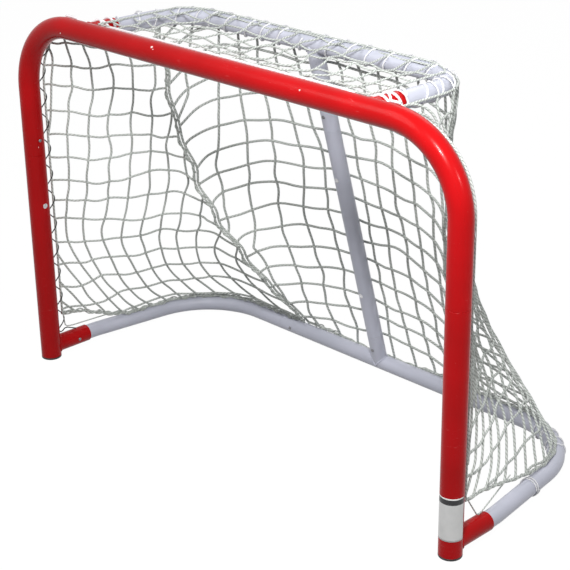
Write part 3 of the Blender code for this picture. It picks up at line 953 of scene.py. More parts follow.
@dataclass
class Pipe:
    """A steel tube along a route, with a wall, broken edges, shaped ends and bores."""

    name: str
    route: Route
    outer: float
    inner: float
    sides: int = 64
    head: Reach | None = None
    bores: list[Bore] = field(default_factory=list)
    edge: float = 0.0004

    def frames(self) -> list[tuple[Vector, Vector, Vector, Vector]]:
        """Place, heading and two square directions at each point of the route."""
        found = []
        side = None
        for n, point in enumerate(self.route):
            before = self.route[max(n - 1, 0)]
            after = self.route[min(n + 1, len(self.route) - 1)]
            heading = (after - before).normalized()
            if side is None:
                side = heading.cross(X if abs(heading.x) < 0.8 else Z).normalized()
            else:
                side = (side - heading * side.dot(heading)).normalized()
            found.append((point, heading, side, heading.cross(side)))
        return found

    def ring(self, stand: tuple[Vector, Vector, Vector, Vector], radius: float, shift: float,
             reach: Reach | None = None) -> list[Vector]:
        """Points of one ring.

        Args:
            stand: A frame of the route.
            radius: The ring's radius.
            shift: How far the ring is moved along the route.
            reach: Gives each point's own distance to a shaped end.

        Returns:
            The ring's points.
        """
        point, heading, side, up = stand
        ring = []
        for n in range(self.sides):
            angle = math.tau * n / self.sides
            place = point + (side * math.cos(angle) + up * math.sin(angle)) * radius
            away = shift + (reach(place, heading) if reach else 0.0)
            ring.append(place + heading * away)
        return ring

    def rings(self) -> list[list[Vector]]:
        """All rings in order: outside, far rim, inside and near rim."""
        stands = self.frames()
        first, last, edge = stands[0], stands[-1], self.edge
        rings = [self.ring(first, self.outer - edge, 0, self.head),
                 self.ring(first, self.outer, edge, self.head)]
        rings += [self.ring(stand, self.outer, 0) for stand in stands[1:-1]]
        rings += [self.ring(last, self.outer, -edge), self.ring(last, self.outer - edge, 0)]
        rings += [self.ring(last, self.inner + edge, 0), self.ring(last, self.inner, -edge)]
        rings += [self.ring(stand, self.inner, 0) for stand in reversed(stands[1:-1])]
        rings += [self.ring(first, self.inner, edge, self.head),
                  self.ring(first, self.inner + edge, 0, self.head)]
        return rings

    def mesh(self) -> Mesh:
        """The tube's closed mesh, with its bores cut."""
        rings = self.rings()
        points = [point for ring in rings for point in ring]
        faces = []
        for r in range(len(rings)):
            here, there = r * self.sides, (r + 1) % len(rings) * self.sides
            for n in range(self.sides):
                m = (n + 1) % self.sides
                faces.append((here + n, here + m, there + m, there + n))
        mesh = bpy.data.meshes.new(self.name)
        mesh.from_pydata(points, [], faces)
        shape = bmesh.new()
        shape.from_mesh(mesh)
        bmesh.ops.recalc_face_normals(shape, faces=shape.faces)
        shape.to_mesh(mesh)
        shape.free()
        return self.bored(mesh)

    def bored(self, mesh: Mesh) -> Mesh:
        """The mesh after each bore's cut.

        Args:
            mesh: The whole tube.

        Returns:
            The bored tube.
        """
        if not self.bores:
            return mesh
        work = linked(self.name + "_work", mesh)
        tools = [bore.tool() for bore in self.bores]
        for tool in tools:
            cut = work.modifiers.new("bore", "BOOLEAN")
            cut.operation = "DIFFERENCE"
            cut.object = tool
        result = baked(work)
        for tool in tools:
            bpy.data.objects.remove(tool, do_unlink=True)
        return result

    def build(self, finish: Finish, body: Body, *nodes: str) -> Piece:
        """Make the piece and settle it.

        Args:
            finish: Its finish.
            body: The body that it rides on.
            nodes: The CAD nodes that it stands for.

        Returns:
            The object.
        """
        mesh = self.mesh()
        mesh.name = self.name
        smooth(mesh)
        piece = new_object(self.name, mesh, finish)
        settle(piece, finish, body, *nodes)
        return piece


def weld_line(route: Route, radius: float, sides: int, near: Reach) -> Route:
    """Line where a tube with a shaped end meets its carrier, just off both."""
    off = 0.0004
    meet = Pipe("meet", route, radius + off, radius, sides, near)
    return meet.ring(meet.frames()[0], radius + off, off, near)


def turned(name: str, profile: Sequence[tuple[float, float]], steps: int) -> Mesh:
    """Solid of revolution about Z.

    Args:
        name: The mesh's name.
        profile: Radius and height from the top's middle down to the foot's middle.
        steps: Sides.

    Returns:
        The mesh.
    """
    shape = bmesh.new()
    line = [shape.verts.new((radius, 0, height)) for radius, height in profile]
    edges = [shape.edges.new(pair) for pair in zip(line, line[1:])]
    bmesh.ops.spin(shape, geom=line + edges, cent=(0, 0, 0), axis=(0, 0, 1), angle=math.tau,
                   steps=steps, use_merge=True, use_duplicate=False)
    bmesh.ops.remove_doubles(shape, verts=shape.verts, dist=0.000005)
    bmesh.ops.recalc_face_normals(shape, faces=shape.faces)
    return made_mesh(shape, name)


def facing(place: Vector, outward: Vector) -> Matrix:
    """Matrix that stands a turned piece on a place, its Z outward."""
    return Matrix.Translation(place) @ outward.to_track_quat("Z", "Y").to_matrix().to_4x4()


# Geometry trees


class GeometryTree:
    """A geometry tree with named inputs that is run on a helper mesh."""

    def __init__(self, name: str, inputs: Mapping[str, float | int]) -> None:
        """Start the tree.

        Args:
            name: The tree's name.
            inputs: Each input's default; a whole number makes a whole-number input.
        """
        self.tree = bpy.data.node_groups.new(name, "GeometryNodeTree")
        face = self.tree.interface
        face.new_socket("Geometry", in_out="INPUT", socket_type="NodeSocketGeometry")
        for label, value in inputs.items():
            kind = "NodeSocketInt" if isinstance(value, int) else "NodeSocketFloat"
            face.new_socket(label, in_out="INPUT", socket_type=kind).default_value = value
        face.new_socket("Material", in_out="INPUT", socket_type="NodeSocketMaterial")
        face.new_socket("Geometry", in_out="OUTPUT", socket_type="NodeSocketGeometry")
        self.graph = Graph(self.tree)
        self.entry = self.graph.node("NodeGroupInput")
        self.exit = self.graph.node("NodeGroupOutput")

    def given(self, label: str) -> Socket:
        """One of the tree's inputs."""
        return Graph.socket(self.entry.outputs, label)

    def close(self, geometry: Socket) -> None:
        """End the tree in realized instances, smooth shading and the material.

        Args:
            geometry: What the tree has made.
        """
        graph = self.graph
        real = graph.node("GeometryNodeRealizeInstances", None, {"Geometry": geometry})
        shaded = graph.node("GeometryNodeSetShadeSmooth", None, {"Geometry": real.outputs[0]})
        dressed = graph.node("GeometryNodeSetMaterial", None,
                             {"Geometry": shaded.outputs[0], "Material": self.given("Material")})
        graph.feed(self.exit, 0, dressed.outputs[0])

    def run(self, name: str, mesh: Mesh, finish: Finish,
            **values: float | int) -> Piece:
        """Run the tree on a mesh.

        Args:
            name: The piece's name.
            mesh: What the tree works on.
            finish: The finish that it sets.
            values: The tree's inputs, underscores standing for spaces.

        Returns:
            A plain object, linked and dressed.
        """
        helper = linked(name + "_source", mesh)
        modifier = helper.modifiers.new("tree", "NODES")
        modifier.node_group = self.tree
        wanted = {key.replace("_", " "): value for key, value in values.items()}
        wanted["Material"] = finish.material
        for item in self.tree.interface.items_tree:
            if item.in_out == "INPUT" and item.name in wanted:
                modifier[item.identifier] = wanted[item.name]
        result = baked(helper)
        result.name = name
        if not result.materials:
            result.materials.append(finish.material)
        return linked(name, result)


class CordTree(GeometryTree):
    """Sweeps a round cord along each line of a mesh and maps it for its lay."""

    def __init__(self) -> None:
        """Build the tree."""
        super().__init__("cord", {"Radius": 0.002, "Sides": 8})
        self.close(self.swept(self.given("Geometry")))

    def swept(self, lines: Socket) -> Socket:
        """The cords of a mesh's edges.

        Args:
            lines: A mesh of loose edges.

        Returns:
            The cords' mesh.
        """
        graph = self.graph
        curve = graph.node("GeometryNodeMeshToCurve", None, {"Mesh": lines})
        along = graph.node("GeometryNodeSplineParameter")
        kept = graph.node("GeometryNodeCaptureAttribute", {"domain": "POINT"})
        kept.capture_items.new("FLOAT", "along")
        graph.feed(kept, 0, curve.outputs[0])
        graph.feed(kept, 1, Graph.socket(along.outputs, "Length"))
        count = graph.node("ShaderNodeMath", {"operation": "ADD"},
                           {0: self.given("Sides"), 1: 1.0})
        ring = graph.node("GeometryNodeCurveArc", {"mode": "RADIUS"}, {
            "Resolution": count.outputs[0], "Radius": self.given("Radius"),
            "Start Angle": 0.0, "Sweep Angle": math.tau})
        turn = graph.node("GeometryNodeSplineParameter")
        held = graph.node("GeometryNodeCaptureAttribute", {"domain": "POINT"})
        held.capture_items.new("FLOAT", "turn")
        graph.feed(held, 0, ring.outputs[0])
        graph.feed(held, 1, Graph.socket(turn.outputs, "Factor"))
        skin = graph.node("GeometryNodeCurveToMesh", None, {
            "Curve": kept.outputs[0], "Profile Curve": held.outputs[0], "Fill Caps": False})
        place = graph.node("ShaderNodeCombineXYZ", None,
                           {0: held.outputs[1], 1: kept.outputs[1]})
        mapped = graph.node("GeometryNodeStoreNamedAttribute",
                            {"data_type": "FLOAT2", "domain": "CORNER"},
                            {"Geometry": skin.outputs[0], "Name": "lay",
                             "Value": place.outputs[0]})
        welded = graph.node("GeometryNodeMergeByDistance", None,
                            {"Geometry": mapped.outputs[0], "Distance": 0.00001})
        return welded.outputs[0]


class NetTree(CordTree):
    """Cords of a net, with a knot on each marked point."""

    def __init__(self) -> None:
        """Build the tree."""
        GeometryTree.__init__(self, "net", {
            "Radius": 0.002, "Sides": 8, "Knot Radius": 0.0028, "Knot Cord": 0.0016, "Seed": 3})
        graph = self.graph
        marked = graph.node("GeometryNodeInputNamedAttribute", {"data_type": "BOOLEAN"},
                            {"Name": "knot"})
        points = graph.node("GeometryNodeMeshToPoints", None, {
            "Mesh": self.given("Geometry"), "Selection": marked.outputs[0]})
        normal = graph.node("GeometryNodeInputNamedAttribute", {"data_type": "FLOAT_VECTOR"},
                            {"Name": "outward"})
        stand = graph.node("FunctionNodeAlignRotationToVector", {"axis": "Z"},
                           {"Vector": normal.outputs[0]})
        spin = graph.node("FunctionNodeRandomValue", {"data_type": "FLOAT"}, {
            "Min_001": -0.5, "Max_001": 0.5, "Seed": self.given("Seed")})
        angle = graph.node("ShaderNodeCombineXYZ", None,
                           {0: spin.outputs[1], 1: spin.outputs[1], 2: spin.outputs[1]})
        turned_by = graph.node("FunctionNodeRotateRotation", {"rotation_space": "LOCAL"},
                               {0: stand.outputs[0], 1: angle.outputs[0]})
        knots = graph.node("GeometryNodeInstanceOnPoints", None, {
            "Points": points.outputs[0], "Instance": self.knot(),
            "Rotation": turned_by.outputs[0]})
        joined = graph.node("GeometryNodeJoinGeometry")
        graph.feed(joined, 0, self.swept(self.given("Geometry")))
        graph.feed(joined, 0, knots.outputs[0])
        self.close(joined.outputs[0])

    def knot(self) -> Socket:
        """Two loops of cord drawn tight across each other."""
        graph = self.graph
        joined = graph.node("GeometryNodeJoinGeometry")
        for lean, squeeze in ((0.75, (1.25, 0.8, 1.0)), (-0.75, (0.8, 1.25, 1.0))):
            loop = graph.node("GeometryNodeCurvePrimitiveCircle", {"mode": "RADIUS"},
                              {"Resolution": 10, "Radius": self.given("Knot Radius")})
            cord = graph.node("GeometryNodeCurvePrimitiveCircle", {"mode": "RADIUS"},
                              {"Resolution": 6, "Radius": self.given("Knot Cord")})
            ring = graph.node("GeometryNodeCurveToMesh", None, {
                "Curve": loop.outputs[0], "Profile Curve": cord.outputs[0]})
            laid = graph.node("GeometryNodeTransform", None, {
                "Geometry": ring.outputs[0], "Rotation": (lean, lean * 0.6, 0.8),
                "Scale": squeeze})
            graph.feed(joined, 0, laid.outputs[0])
        return joined.outputs[0]


class BeadTree(GeometryTree):
    """Weld bead: overlapping scallops along each line of a mesh."""

    def __init__(self) -> None:
        """Build the tree."""
        super().__init__("weld bead", {"Radius": 0.0022, "Pitch": 0.0019, "Seed": 5})
        graph = self.graph
        curve = graph.node("GeometryNodeMeshToCurve", None, {"Mesh": self.given("Geometry")})
        beads = graph.node("GeometryNodeResampleCurve", {"mode": "LENGTH"},
                           {"Curve": curve.outputs[0], "Length": self.given("Pitch")})
        drop = graph.node("GeometryNodeMeshUVSphere", None,
                          {"Segments": 12, "Rings": 8, "Radius": self.given("Radius")})
        tangent = graph.node("GeometryNodeInputTangent")
        stand = graph.node("FunctionNodeAlignRotationToVector", {"axis": "X"},
                           {"Vector": tangent.outputs[0]})
        size = graph.node("FunctionNodeRandomValue", {"data_type": "FLOAT"}, {
            "Min_001": 0.88, "Max_001": 1.08, "Seed": self.given("Seed")})
        scale = graph.node("ShaderNodeCombineXYZ", None,
                           {0: 0.8, 1: size.outputs[1], 2: size.outputs[1]})
        placed = graph.node("GeometryNodeInstanceOnPoints", None, {
            "Points": beads.outputs[0], "Instance": drop.outputs[0],
            "Rotation": stand.outputs[0], "Scale": scale.outputs[0]})
        self.close(placed.outputs[0])


def lines_mesh(name: str, routes: Sequence[Route], closed: bool = False) -> Mesh:
    """Mesh of loose edges along routes.

    Args:
        name: The mesh's name.
        routes: The routes.
        closed: Whether each route's end joins its start.

    Returns:
        The mesh.
    """
    points: list[Vector] = []
    edges: list[tuple[int, int]] = []
    for route in routes:
        start = len(points)
        points.extend(route)
        edges.extend((n, n + 1) for n in range(start, len(points) - 1))
        if closed:
            edges.append((len(points) - 1, start))
    mesh = bpy.data.meshes.new(name)
    mesh.from_pydata(points, edges, [])
    return mesh


# Steel


@dataclass
class FrontFrame:
    """Bow, posts, sleeves, welds, foot caps, rivets and the bare sticker."""

    plan: GoalPlan
    label_foot: float = 0.046
    label_head: float = 0.146
    label_middle: float = -60.0
    label_half: float = 76.0

    def build(self, beads: BeadTree) -> None:
        """Build every piece of the front frame.

        Args:
            beads: The tree that lays welds.
        """
        plan = self.plan
        locks = plan.locks()
        for side in Side:
            self.build_post(side, plan.seam(side))
            self.build_cap(side)
        self.build_bow([Bore(*locks[side.word + "_post"]) for side in Side])
        saddles = self.build_sleeves()
        piece = beads.run("front_welds", lines_mesh("front_welds", saddles, True), RED)
        settle(piece, RED, Body.FRONT)
        self.build_rivets()
        self.build_sticker()

    def build_bow(self, bores: list[Bore]) -> None:
        """The crossbar with its two bends and legs."""
        plan = self.plan
        foot = plan.seam_z + plan.gap / 2
        corners = [Vector((x, plan.post_y, z)) for x, z in (
            (-plan.post_x, foot), (-plan.post_x, plan.crossbar_z),
            (plan.post_x, plan.crossbar_z), (plan.post_x, foot))]
        route = rounded(corners, [plan.bow_bend] * 2, 28)
        Pipe("bow", route, plan.front_radius, plan.front_radius - plan.front_wall, 72,
             bores=bores).build(RED, Body.FRONT, "crossbar_bow")

    def build_post(self, side: Side, seam: Vector) -> None:
        """One lower post."""
        plan = self.plan
        foot = Vector((seam.x, seam.y, 0.0053))
        head = seam - Z * plan.gap / 2
        Pipe(side.word + "_lower_post", [foot, foot.lerp(head, 0.5), head], plan.front_radius,
             plan.front_radius - plan.front_wall, 72).build(
                 RED, Body.FRONT, side.word + "_post")

    def build_cap(self, side: Side) -> None:
        """One moulded foot cap with a broken edge and a plug in the tube."""
        rim = self.plan.front_radius
        plug = 0.0234
        profile = [(0, 0.0240), (plug - 0.0016, 0.0240), (plug - 0.0002, 0.0232),
                   (plug, 0.0200), (plug, 0.0052), (rim - 0.0004, 0.0050), (rim, 0.0046),
                   (rim, 0.0016), (rim - 0.0004, 0.0006), (rim - 0.0014, 0.0),
                   (0.0160, 0.0), (0.0154, 0.0006), (0.0, 0.0006)]
        mesh = turned(side.word + "_cap", profile, 64)
        mesh.transform(Matrix.Translation((side.value * self.plan.post_x, self.plan.post_y, 0)))
        smooth(mesh, 30)
        piece = new_object(side.word + "_cap", mesh, CAP)
        settle(piece, CAP, Body.FRONT, side.word + "_foot_cap")

    def build_sleeves(self) -> list[Route]:
        """The four sleeves; returns their saddle lines for the welds."""
        plan = self.plan
        lines = []
        for side in Side:
            foot = plan.base(side.value * plan.post_x, 0)
            head = plan.shelf(side.value * plan.shelf_half, 0)
            lines.append(self.sleeve(side.word + "_base", foot, Z, plan.base_sleeve))
            lines.append(self.sleeve(side.word + "_shelf", head, X, plan.shelf_sleeve))
        return lines

    def sleeve(self, word: str, start: Vector, axis: Vector, reach: float) -> Route:
        """One sleeve, its near end shaped to the tube that carries it.

        Args:
            word: The name of its button's place.
            start: Where its axis meets the carrying tube's axis.
            axis: The carrying tube's direction.
            reach: Its length from that axis.

        Returns:
            The line where the two tubes meet.
        """
        plan = self.plan
        back = plan.back()
        near = partial(saddle, centre=start, axis=axis, radius=plan.front_radius + plan.gap)
        route = [start, start + back * 0.06, start + back * reach]
        pipe = Pipe(word + "_sleeve_tube", route, plan.sleeve_radius, plan.sleeve_bore, 64, near,
                    [Bore(*plan.locks()[word])])
        pipe.build(RED, Body.FRONT, word + "_sleeve")
        return weld_line(route, plan.sleeve_radius, 90, near)

    def build_rivets(self) -> None:
        """Domed rivets under the seams and at the bow's outside."""
        plan = self.plan
        for side in Side:
            seam = plan.seam(side)
            inward = side.inward
            outward = (Y + X * side.value).normalized()
            for word, place, way in (("_post_rivet", seam - Z * plan.rivet_inset, inward),
                                     ("_bow_rivet", seam + Z * plan.bow_rivet, outward)):
                rivet_head(side.word + word, place, way, plan.front_radius, Body.FRONT)

    def build_sticker(self) -> None:
        """Bare film wrapped round the front of the right post."""
        plan = self.plan
        columns, rows = 40, 24
        radius = plan.front_radius + 0.00012
        centre = Vector((plan.post_x, plan.post_y, 0))
        corner = 0.004
        shape = bmesh.new()
        grid = []
        arc = math.radians(2 * self.label_half) * radius
        for row in range(rows + 1):
            line = []
            for column in range(columns + 1):
                s, t = column / columns, row / rows
                across, up = (s - 0.5) * arc, (t - 0.5) * (self.label_head - self.label_foot)
                across, up = self.in_corners(across, up, arc, corner)
                angle = math.radians(self.label_middle) + across / radius
                middle = (self.label_foot + self.label_head) / 2
                line.append(shape.verts.new(centre + Vector((
                    radius * math.cos(angle), radius * math.sin(angle), middle + up))))
            grid.append(line)
        for row in range(rows):
            for column in range(columns):
                shape.faces.new((grid[row][column], grid[row][column + 1],
                                 grid[row + 1][column + 1], grid[row + 1][column]))
        mesh = made_mesh(shape, "bare_sticker")
        head = self.label_head
        film = Film("sticker film", "white_powder_coat", (0.72, 0.72, 0.71),
                    (0.012, 0.012, 0.014), head - 0.0150, head - 0.0030)
        piece = new_object("bare_sticker", mesh, film)
        thick = piece.modifiers.new("film", "SOLIDIFY")
        thick.thickness = 0.00008
        thick.offset = 1
        smooth(mesh)
        settle(piece, film, Body.FRONT)

    def in_corners(self, across: float, up: float, arc: float,
                   corner: float) -> tuple[float, float]:
        """Pull a point of the sticker in where its corners are rounded."""
        tall = self.label_head - self.label_foot
        dx = abs(across) - (arc / 2 - corner)
        dz = abs(up) - (tall / 2 - corner)
        if dx > 0 and dz > 0 and math.hypot(dx, dz) > corner:
            pull = corner / math.hypot(dx, dz)
            across = math.copysign(arc / 2 - corner + dx * pull, across)
            up = math.copysign(tall / 2 - corner + dz * pull, up)
        return across, up


def rivet_head(node: str, place: Vector, outward: Vector, radius: float, body: Body) -> None:
    """Domed blind rivet with a punched middle, standing on a tube.

    Args:
        node: The CAD node that it stands for.
        place: A point on the tube's axis.
        outward: The way that it faces.
        radius: The tube's radius.
        body: The body that it rides on.
    """
    lift = radius + 0.0003
    profile = [(0, lift + 0.0009), (0.0010, lift + 0.0009), (0.0014, lift + 0.0016),
               (0.0022, lift + 0.0017), (0.0044, lift + 0.0011), (0.0060, lift + 0.0003),
               (0.0064, lift), (0.0064, lift - 0.0001), (0.0024, lift - 0.0001),
               (0.0024, lift - 0.0016), (0, lift - 0.0016)]
    mesh = turned(node + "_head", profile, 32)
    mesh.transform(facing(place, outward))
    smooth(mesh, 30)
    piece = new_object(node + "_head", mesh, STEEL)
    settle(piece, STEEL, body, node)


@dataclass
class RearFrame:
    """Base rail, top rail, brace, stubs, welds and rivets."""

    plan: GoalPlan

    def build(self, beads: BeadTree) -> None:
        """Build every piece of the rear frame.

        Args:
            beads: The tree that lays welds.
        """
        for side in Side:
            self.build_base_side(side)
        self.build_base_middle()
        self.build_top_rail()
        lines = self.build_brace()
        piece = beads.run("rear_welds", lines_mesh("rear_welds", lines, True), WHITE)
        settle(piece, WHITE, Body.REAR)

    def pipe(self, name: str, route: Route, head: Reach | None = None,
             bores: list[Bore] | None = None) -> Pipe:
        """A tube of the rear frame's section."""
        plan = self.plan
        return Pipe(name, route, plan.rear_radius, plan.rear_radius - plan.rear_wall, 56, head,
                    bores or [])

    def base_side_route(self, side: Side) -> Route:
        """Route of one side of the base rail, from its plug to its seam."""
        plan = self.plan
        way = side.value
        spots = [(plan.post_x, plan.base_sleeve - plan.base_plug),
                 (plan.post_x, plan.base_kink_depth), (plan.base_half, plan.base_depth),
                 (plan.base_seam + plan.gap / 2, plan.base_depth)]
        corners = [plan.base(way * x, depth) for x, depth in spots]
        return rounded(corners, [plan.base_kink_bend, plan.base_bend], 24)

    def build_base_side(self, side: Side) -> None:
        """One side of the base rail."""
        bores = [Bore(*self.plan.locks()[side.word + "_base"])]
        self.pipe(side.word + "_base_run", self.base_side_route(side), bores=bores).build(
            WHITE, Body.REAR, side.word + "_base_rail")

    def build_base_middle(self) -> None:
        """The middle of the base rail, with the holes of its two buttons."""
        plan = self.plan
        end = plan.base_seam - plan.gap / 2
        spots = [plan.base(x, plan.base_depth) for x in (-end, 0, end)]
        locks = plan.locks()
        bores = [Bore(*locks[side.word + "_rail"]) for side in Side]
        self.pipe("middle_base_run", spots, bores=bores).build(
            WHITE, Body.REAR, "middle_base_rail")

    def top_route(self) -> Route:
        """Route of the top rail, from plug to plug."""
        plan = self.plan
        start, half = plan.shelf_sleeve - plan.shelf_plug, plan.shelf_half
        corners = [plan.shelf(x, depth) for x, depth in (
            (-half, start), (-half, plan.shelf_depth), (half, plan.shelf_depth), (half, start))]
        return rounded(corners, [plan.shelf_bend] * 2, 24)

    def build_top_rail(self) -> None:
        """The top rail."""
        locks = self.plan.locks()
        bores = [Bore(*locks[side.word + "_shelf"]) for side in Side]
        self.pipe("top_run", self.top_route(), bores=bores).build(WHITE, Body.REAR, "top_rail")

    def build_brace(self) -> list[Route]:
        """Stubs and brace; returns the stubs' saddle lines for the welds."""
        plan = self.plan
        axis, whole, front = plan.brace_axis(), plan.brace_length(), plan.brace_front()
        upper = whole - plan.shelf_tee
        low_seam, high_seam = plan.brace(plan.base_tee), plan.brace(upper)
        half = axis * plan.gap / 2
        middle = [low_seam + half, low_seam.lerp(high_seam, 0.5), high_seam - half]
        self.pipe("brace_tube", middle).build(WHITE, Body.REAR, "brace")
        lines = []
        for word, part, start, seam, way in (
                ("base", "lower_brace", plan.brace(0), low_seam, axis),
                ("shelf", "upper_brace", plan.brace(whole), high_seam, -axis)):
            lines.append(self.stub(word, start, seam - way * plan.gap / 2, way,
                                   [Bore(*plan.locks()[part])]))
            rivet_head(part + "_rivet", seam + way * plan.rivet_inset, front, plan.rear_radius,
                       Body.REAR)
        return lines

    def stub(self, word: str, start: Vector, end: Vector, way: Vector,
             bores: list[Bore]) -> Route:
        """One stub, shaped to its rail; returns its saddle line.

        Args:
            word: Which rail carries it.
            start: The point on the rail's axis.
            end: Its free end.
            way: Its direction.
            bores: The hole of its button.

        Returns:
            The line where it meets the rail.
        """
        plan = self.plan
        near = partial(saddle, centre=start, axis=X, radius=plan.rear_radius + plan.gap)
        route = [start, start + way * 0.05, end]
        pipe = self.pipe(word + "_stub", route, near, bores)
        pipe.build(WHITE, Body.REAR, word + "_tee")
        return weld_line(route, plan.rear_radius, 84, near)


@dataclass
class SnapButtons:
    """The ten sprung buttons, each on its own body."""

    plan: GoalPlan
    radius: float = 0.0040
    rise: float = 0.0025
    flange: float = 0.0055

    def seat(self, word: str) -> tuple[float, float]:
        """Radius of the tube that a button stands out of, and the bore that its flange rests in."""
        plan = self.plan
        front_inner, rear_inner, rear_bore = 0.0217, 0.01607, 0.0176
        return {"post": (plan.front_radius, front_inner), "base": (plan.sleeve_radius, rear_bore),
                "shelf": (plan.sleeve_radius, rear_bore), "rail": (plan.rear_radius, rear_inner),
                "brace": (plan.rear_radius, rear_inner)}[word.split("_")[1]]

    def build(self) -> None:
        """Turn each button and settle it on its body."""
        for word, (place, outward) in self.plan.locks().items():
            sleeve, bore = self.seat(word)
            top = sleeve + self.rise
            shoulder = math.sqrt(bore**2 - self.flange**2) - self.plan.gap
            dome = [(self.radius * math.sin(a), top - 0.0018 * (1 - math.cos(a)))
                    for a in (math.radians(10 * n) for n in range(10))]
            profile = dome + [(self.radius, shoulder + 0.0002), (self.flange, shoulder),
                              (self.flange, shoulder - 0.0010), (0, shoulder - 0.0010)]
            name = word + "_button_head"
            mesh = turned(name, profile, 28)
            mesh.transform(facing(place, outward))
            smooth(mesh, 40)
            piece = new_object(name, mesh, BUTTON)
            settle(piece, BUTTON, word + "_button", word + "_snap_button")
            self.build_leaf(word, place, outward)

    @staticmethod
    def build_leaf(word: str, place: Vector, outward: Vector) -> None:
        """Leaf spring, copied from its CAD node and carried on that node's body.

        Args:
            word: The button's name.
            place: Point of the tube's axis under the button.
            outward: Direction in which the button stands out.
        """
        node = frame["nodes"][word + "_spring"]
        mesh = node.data.copy()
        mesh.transform(node.matrix_world)
        heights = [(vertex.co - place).dot(outward) for vertex in mesh.vertices]
        joint = next(j for j in frame["joints"] if j["name"] == word + "_button_press")
        press = max(abs(limit) for limit in joint["range_m"])
        piece = new_object(word + "_leaf", mesh, STEEL)
        settle(piece, STEEL, body_of(node)[0], word + "_spring")
        tuple(place + outward * min(heights))
        1 - press / (max(heights) - min(heights))
        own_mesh(piece)


# Net


@dataclass
class Spot:
    """A place on a panel with its column and row numbers, which need not be whole."""

    place: Vector
    column: float
    row: float
    v: float

    def between(self, other: "Spot", share: float) -> "Spot":
        """Spot on the way to another one."""
        return Spot(self.place.lerp(other.place, share),
                    self.column + (other.column - self.column) * share,
                    self.row + (other.row - self.row) * share,
                    self.v + (other.v - self.v) * share)


Reading = Callable[[Spot], float]


@dataclass
class Lattice:
    """Square mesh laid over a grid of spots and cut off at the grid's border."""

    grid: list[list[Spot]]

    def crossings(self, read: Reading, level: float) -> dict[tuple, Spot]:
        """Spots where a reading passes a level, by the grid edge that they lie on."""
        found = {}
        for i, line in enumerate(self.grid):
            for j, spot in enumerate(line):
                for di, dj in ((1, 0), (0, 1)):
                    if i + di >= len(self.grid) or j + dj >= len(line):
                        continue
                    other = self.grid[i + di][j + dj]
                    low, high = read(spot) - level, read(other) - level
                    if low * high < 0:
                        found[(i, j, di)] = spot.between(other, low / (low - high))
        return found

    def lines(self, read: Reading) -> list[list[Spot]]:
        """Lines along which a reading is whole, each with its spots in order."""
        values = [read(spot) for line in self.grid for spot in line]
        found = []
        for level in range(math.ceil(min(values)), math.floor(max(values)) + 1):
            marks = self.crossings(read, level + 0.0001)
            found += [chain for chain in self.chains(marks) if len(chain) > 2]
        return found

    @staticmethod
    def chains(marks: dict[tuple, Spot]) -> list[list[Spot]]:
        """Join crossings that share a grid cell into lines."""
        cells: dict[tuple[int, int], list[tuple]] = {}
        for i, j, down in marks:
            near = ((i, j), (i, j - 1)) if down else ((i, j), (i - 1, j))
            for cell in near:
                cells.setdefault(cell, []).append((i, j, down))
        links: dict[tuple, list[tuple]] = {mark: [] for mark in marks}
        for pair in cells.values():
            if len(pair) == 2:
                links[pair[0]].append(pair[1])
                links[pair[1]].append(pair[0])
        left = dict.fromkeys(sorted(marks, key=lambda mark: (len(links[mark]), mark)))
        chains = []
        while left:
            mark = next(iter(left))
            chain = []
            while mark is not None:
                left.pop(mark)
                chain.append(marks[mark])
                mark = next((other for other in links[mark] if other in left), None)
            chains.append(chain)
        return chains


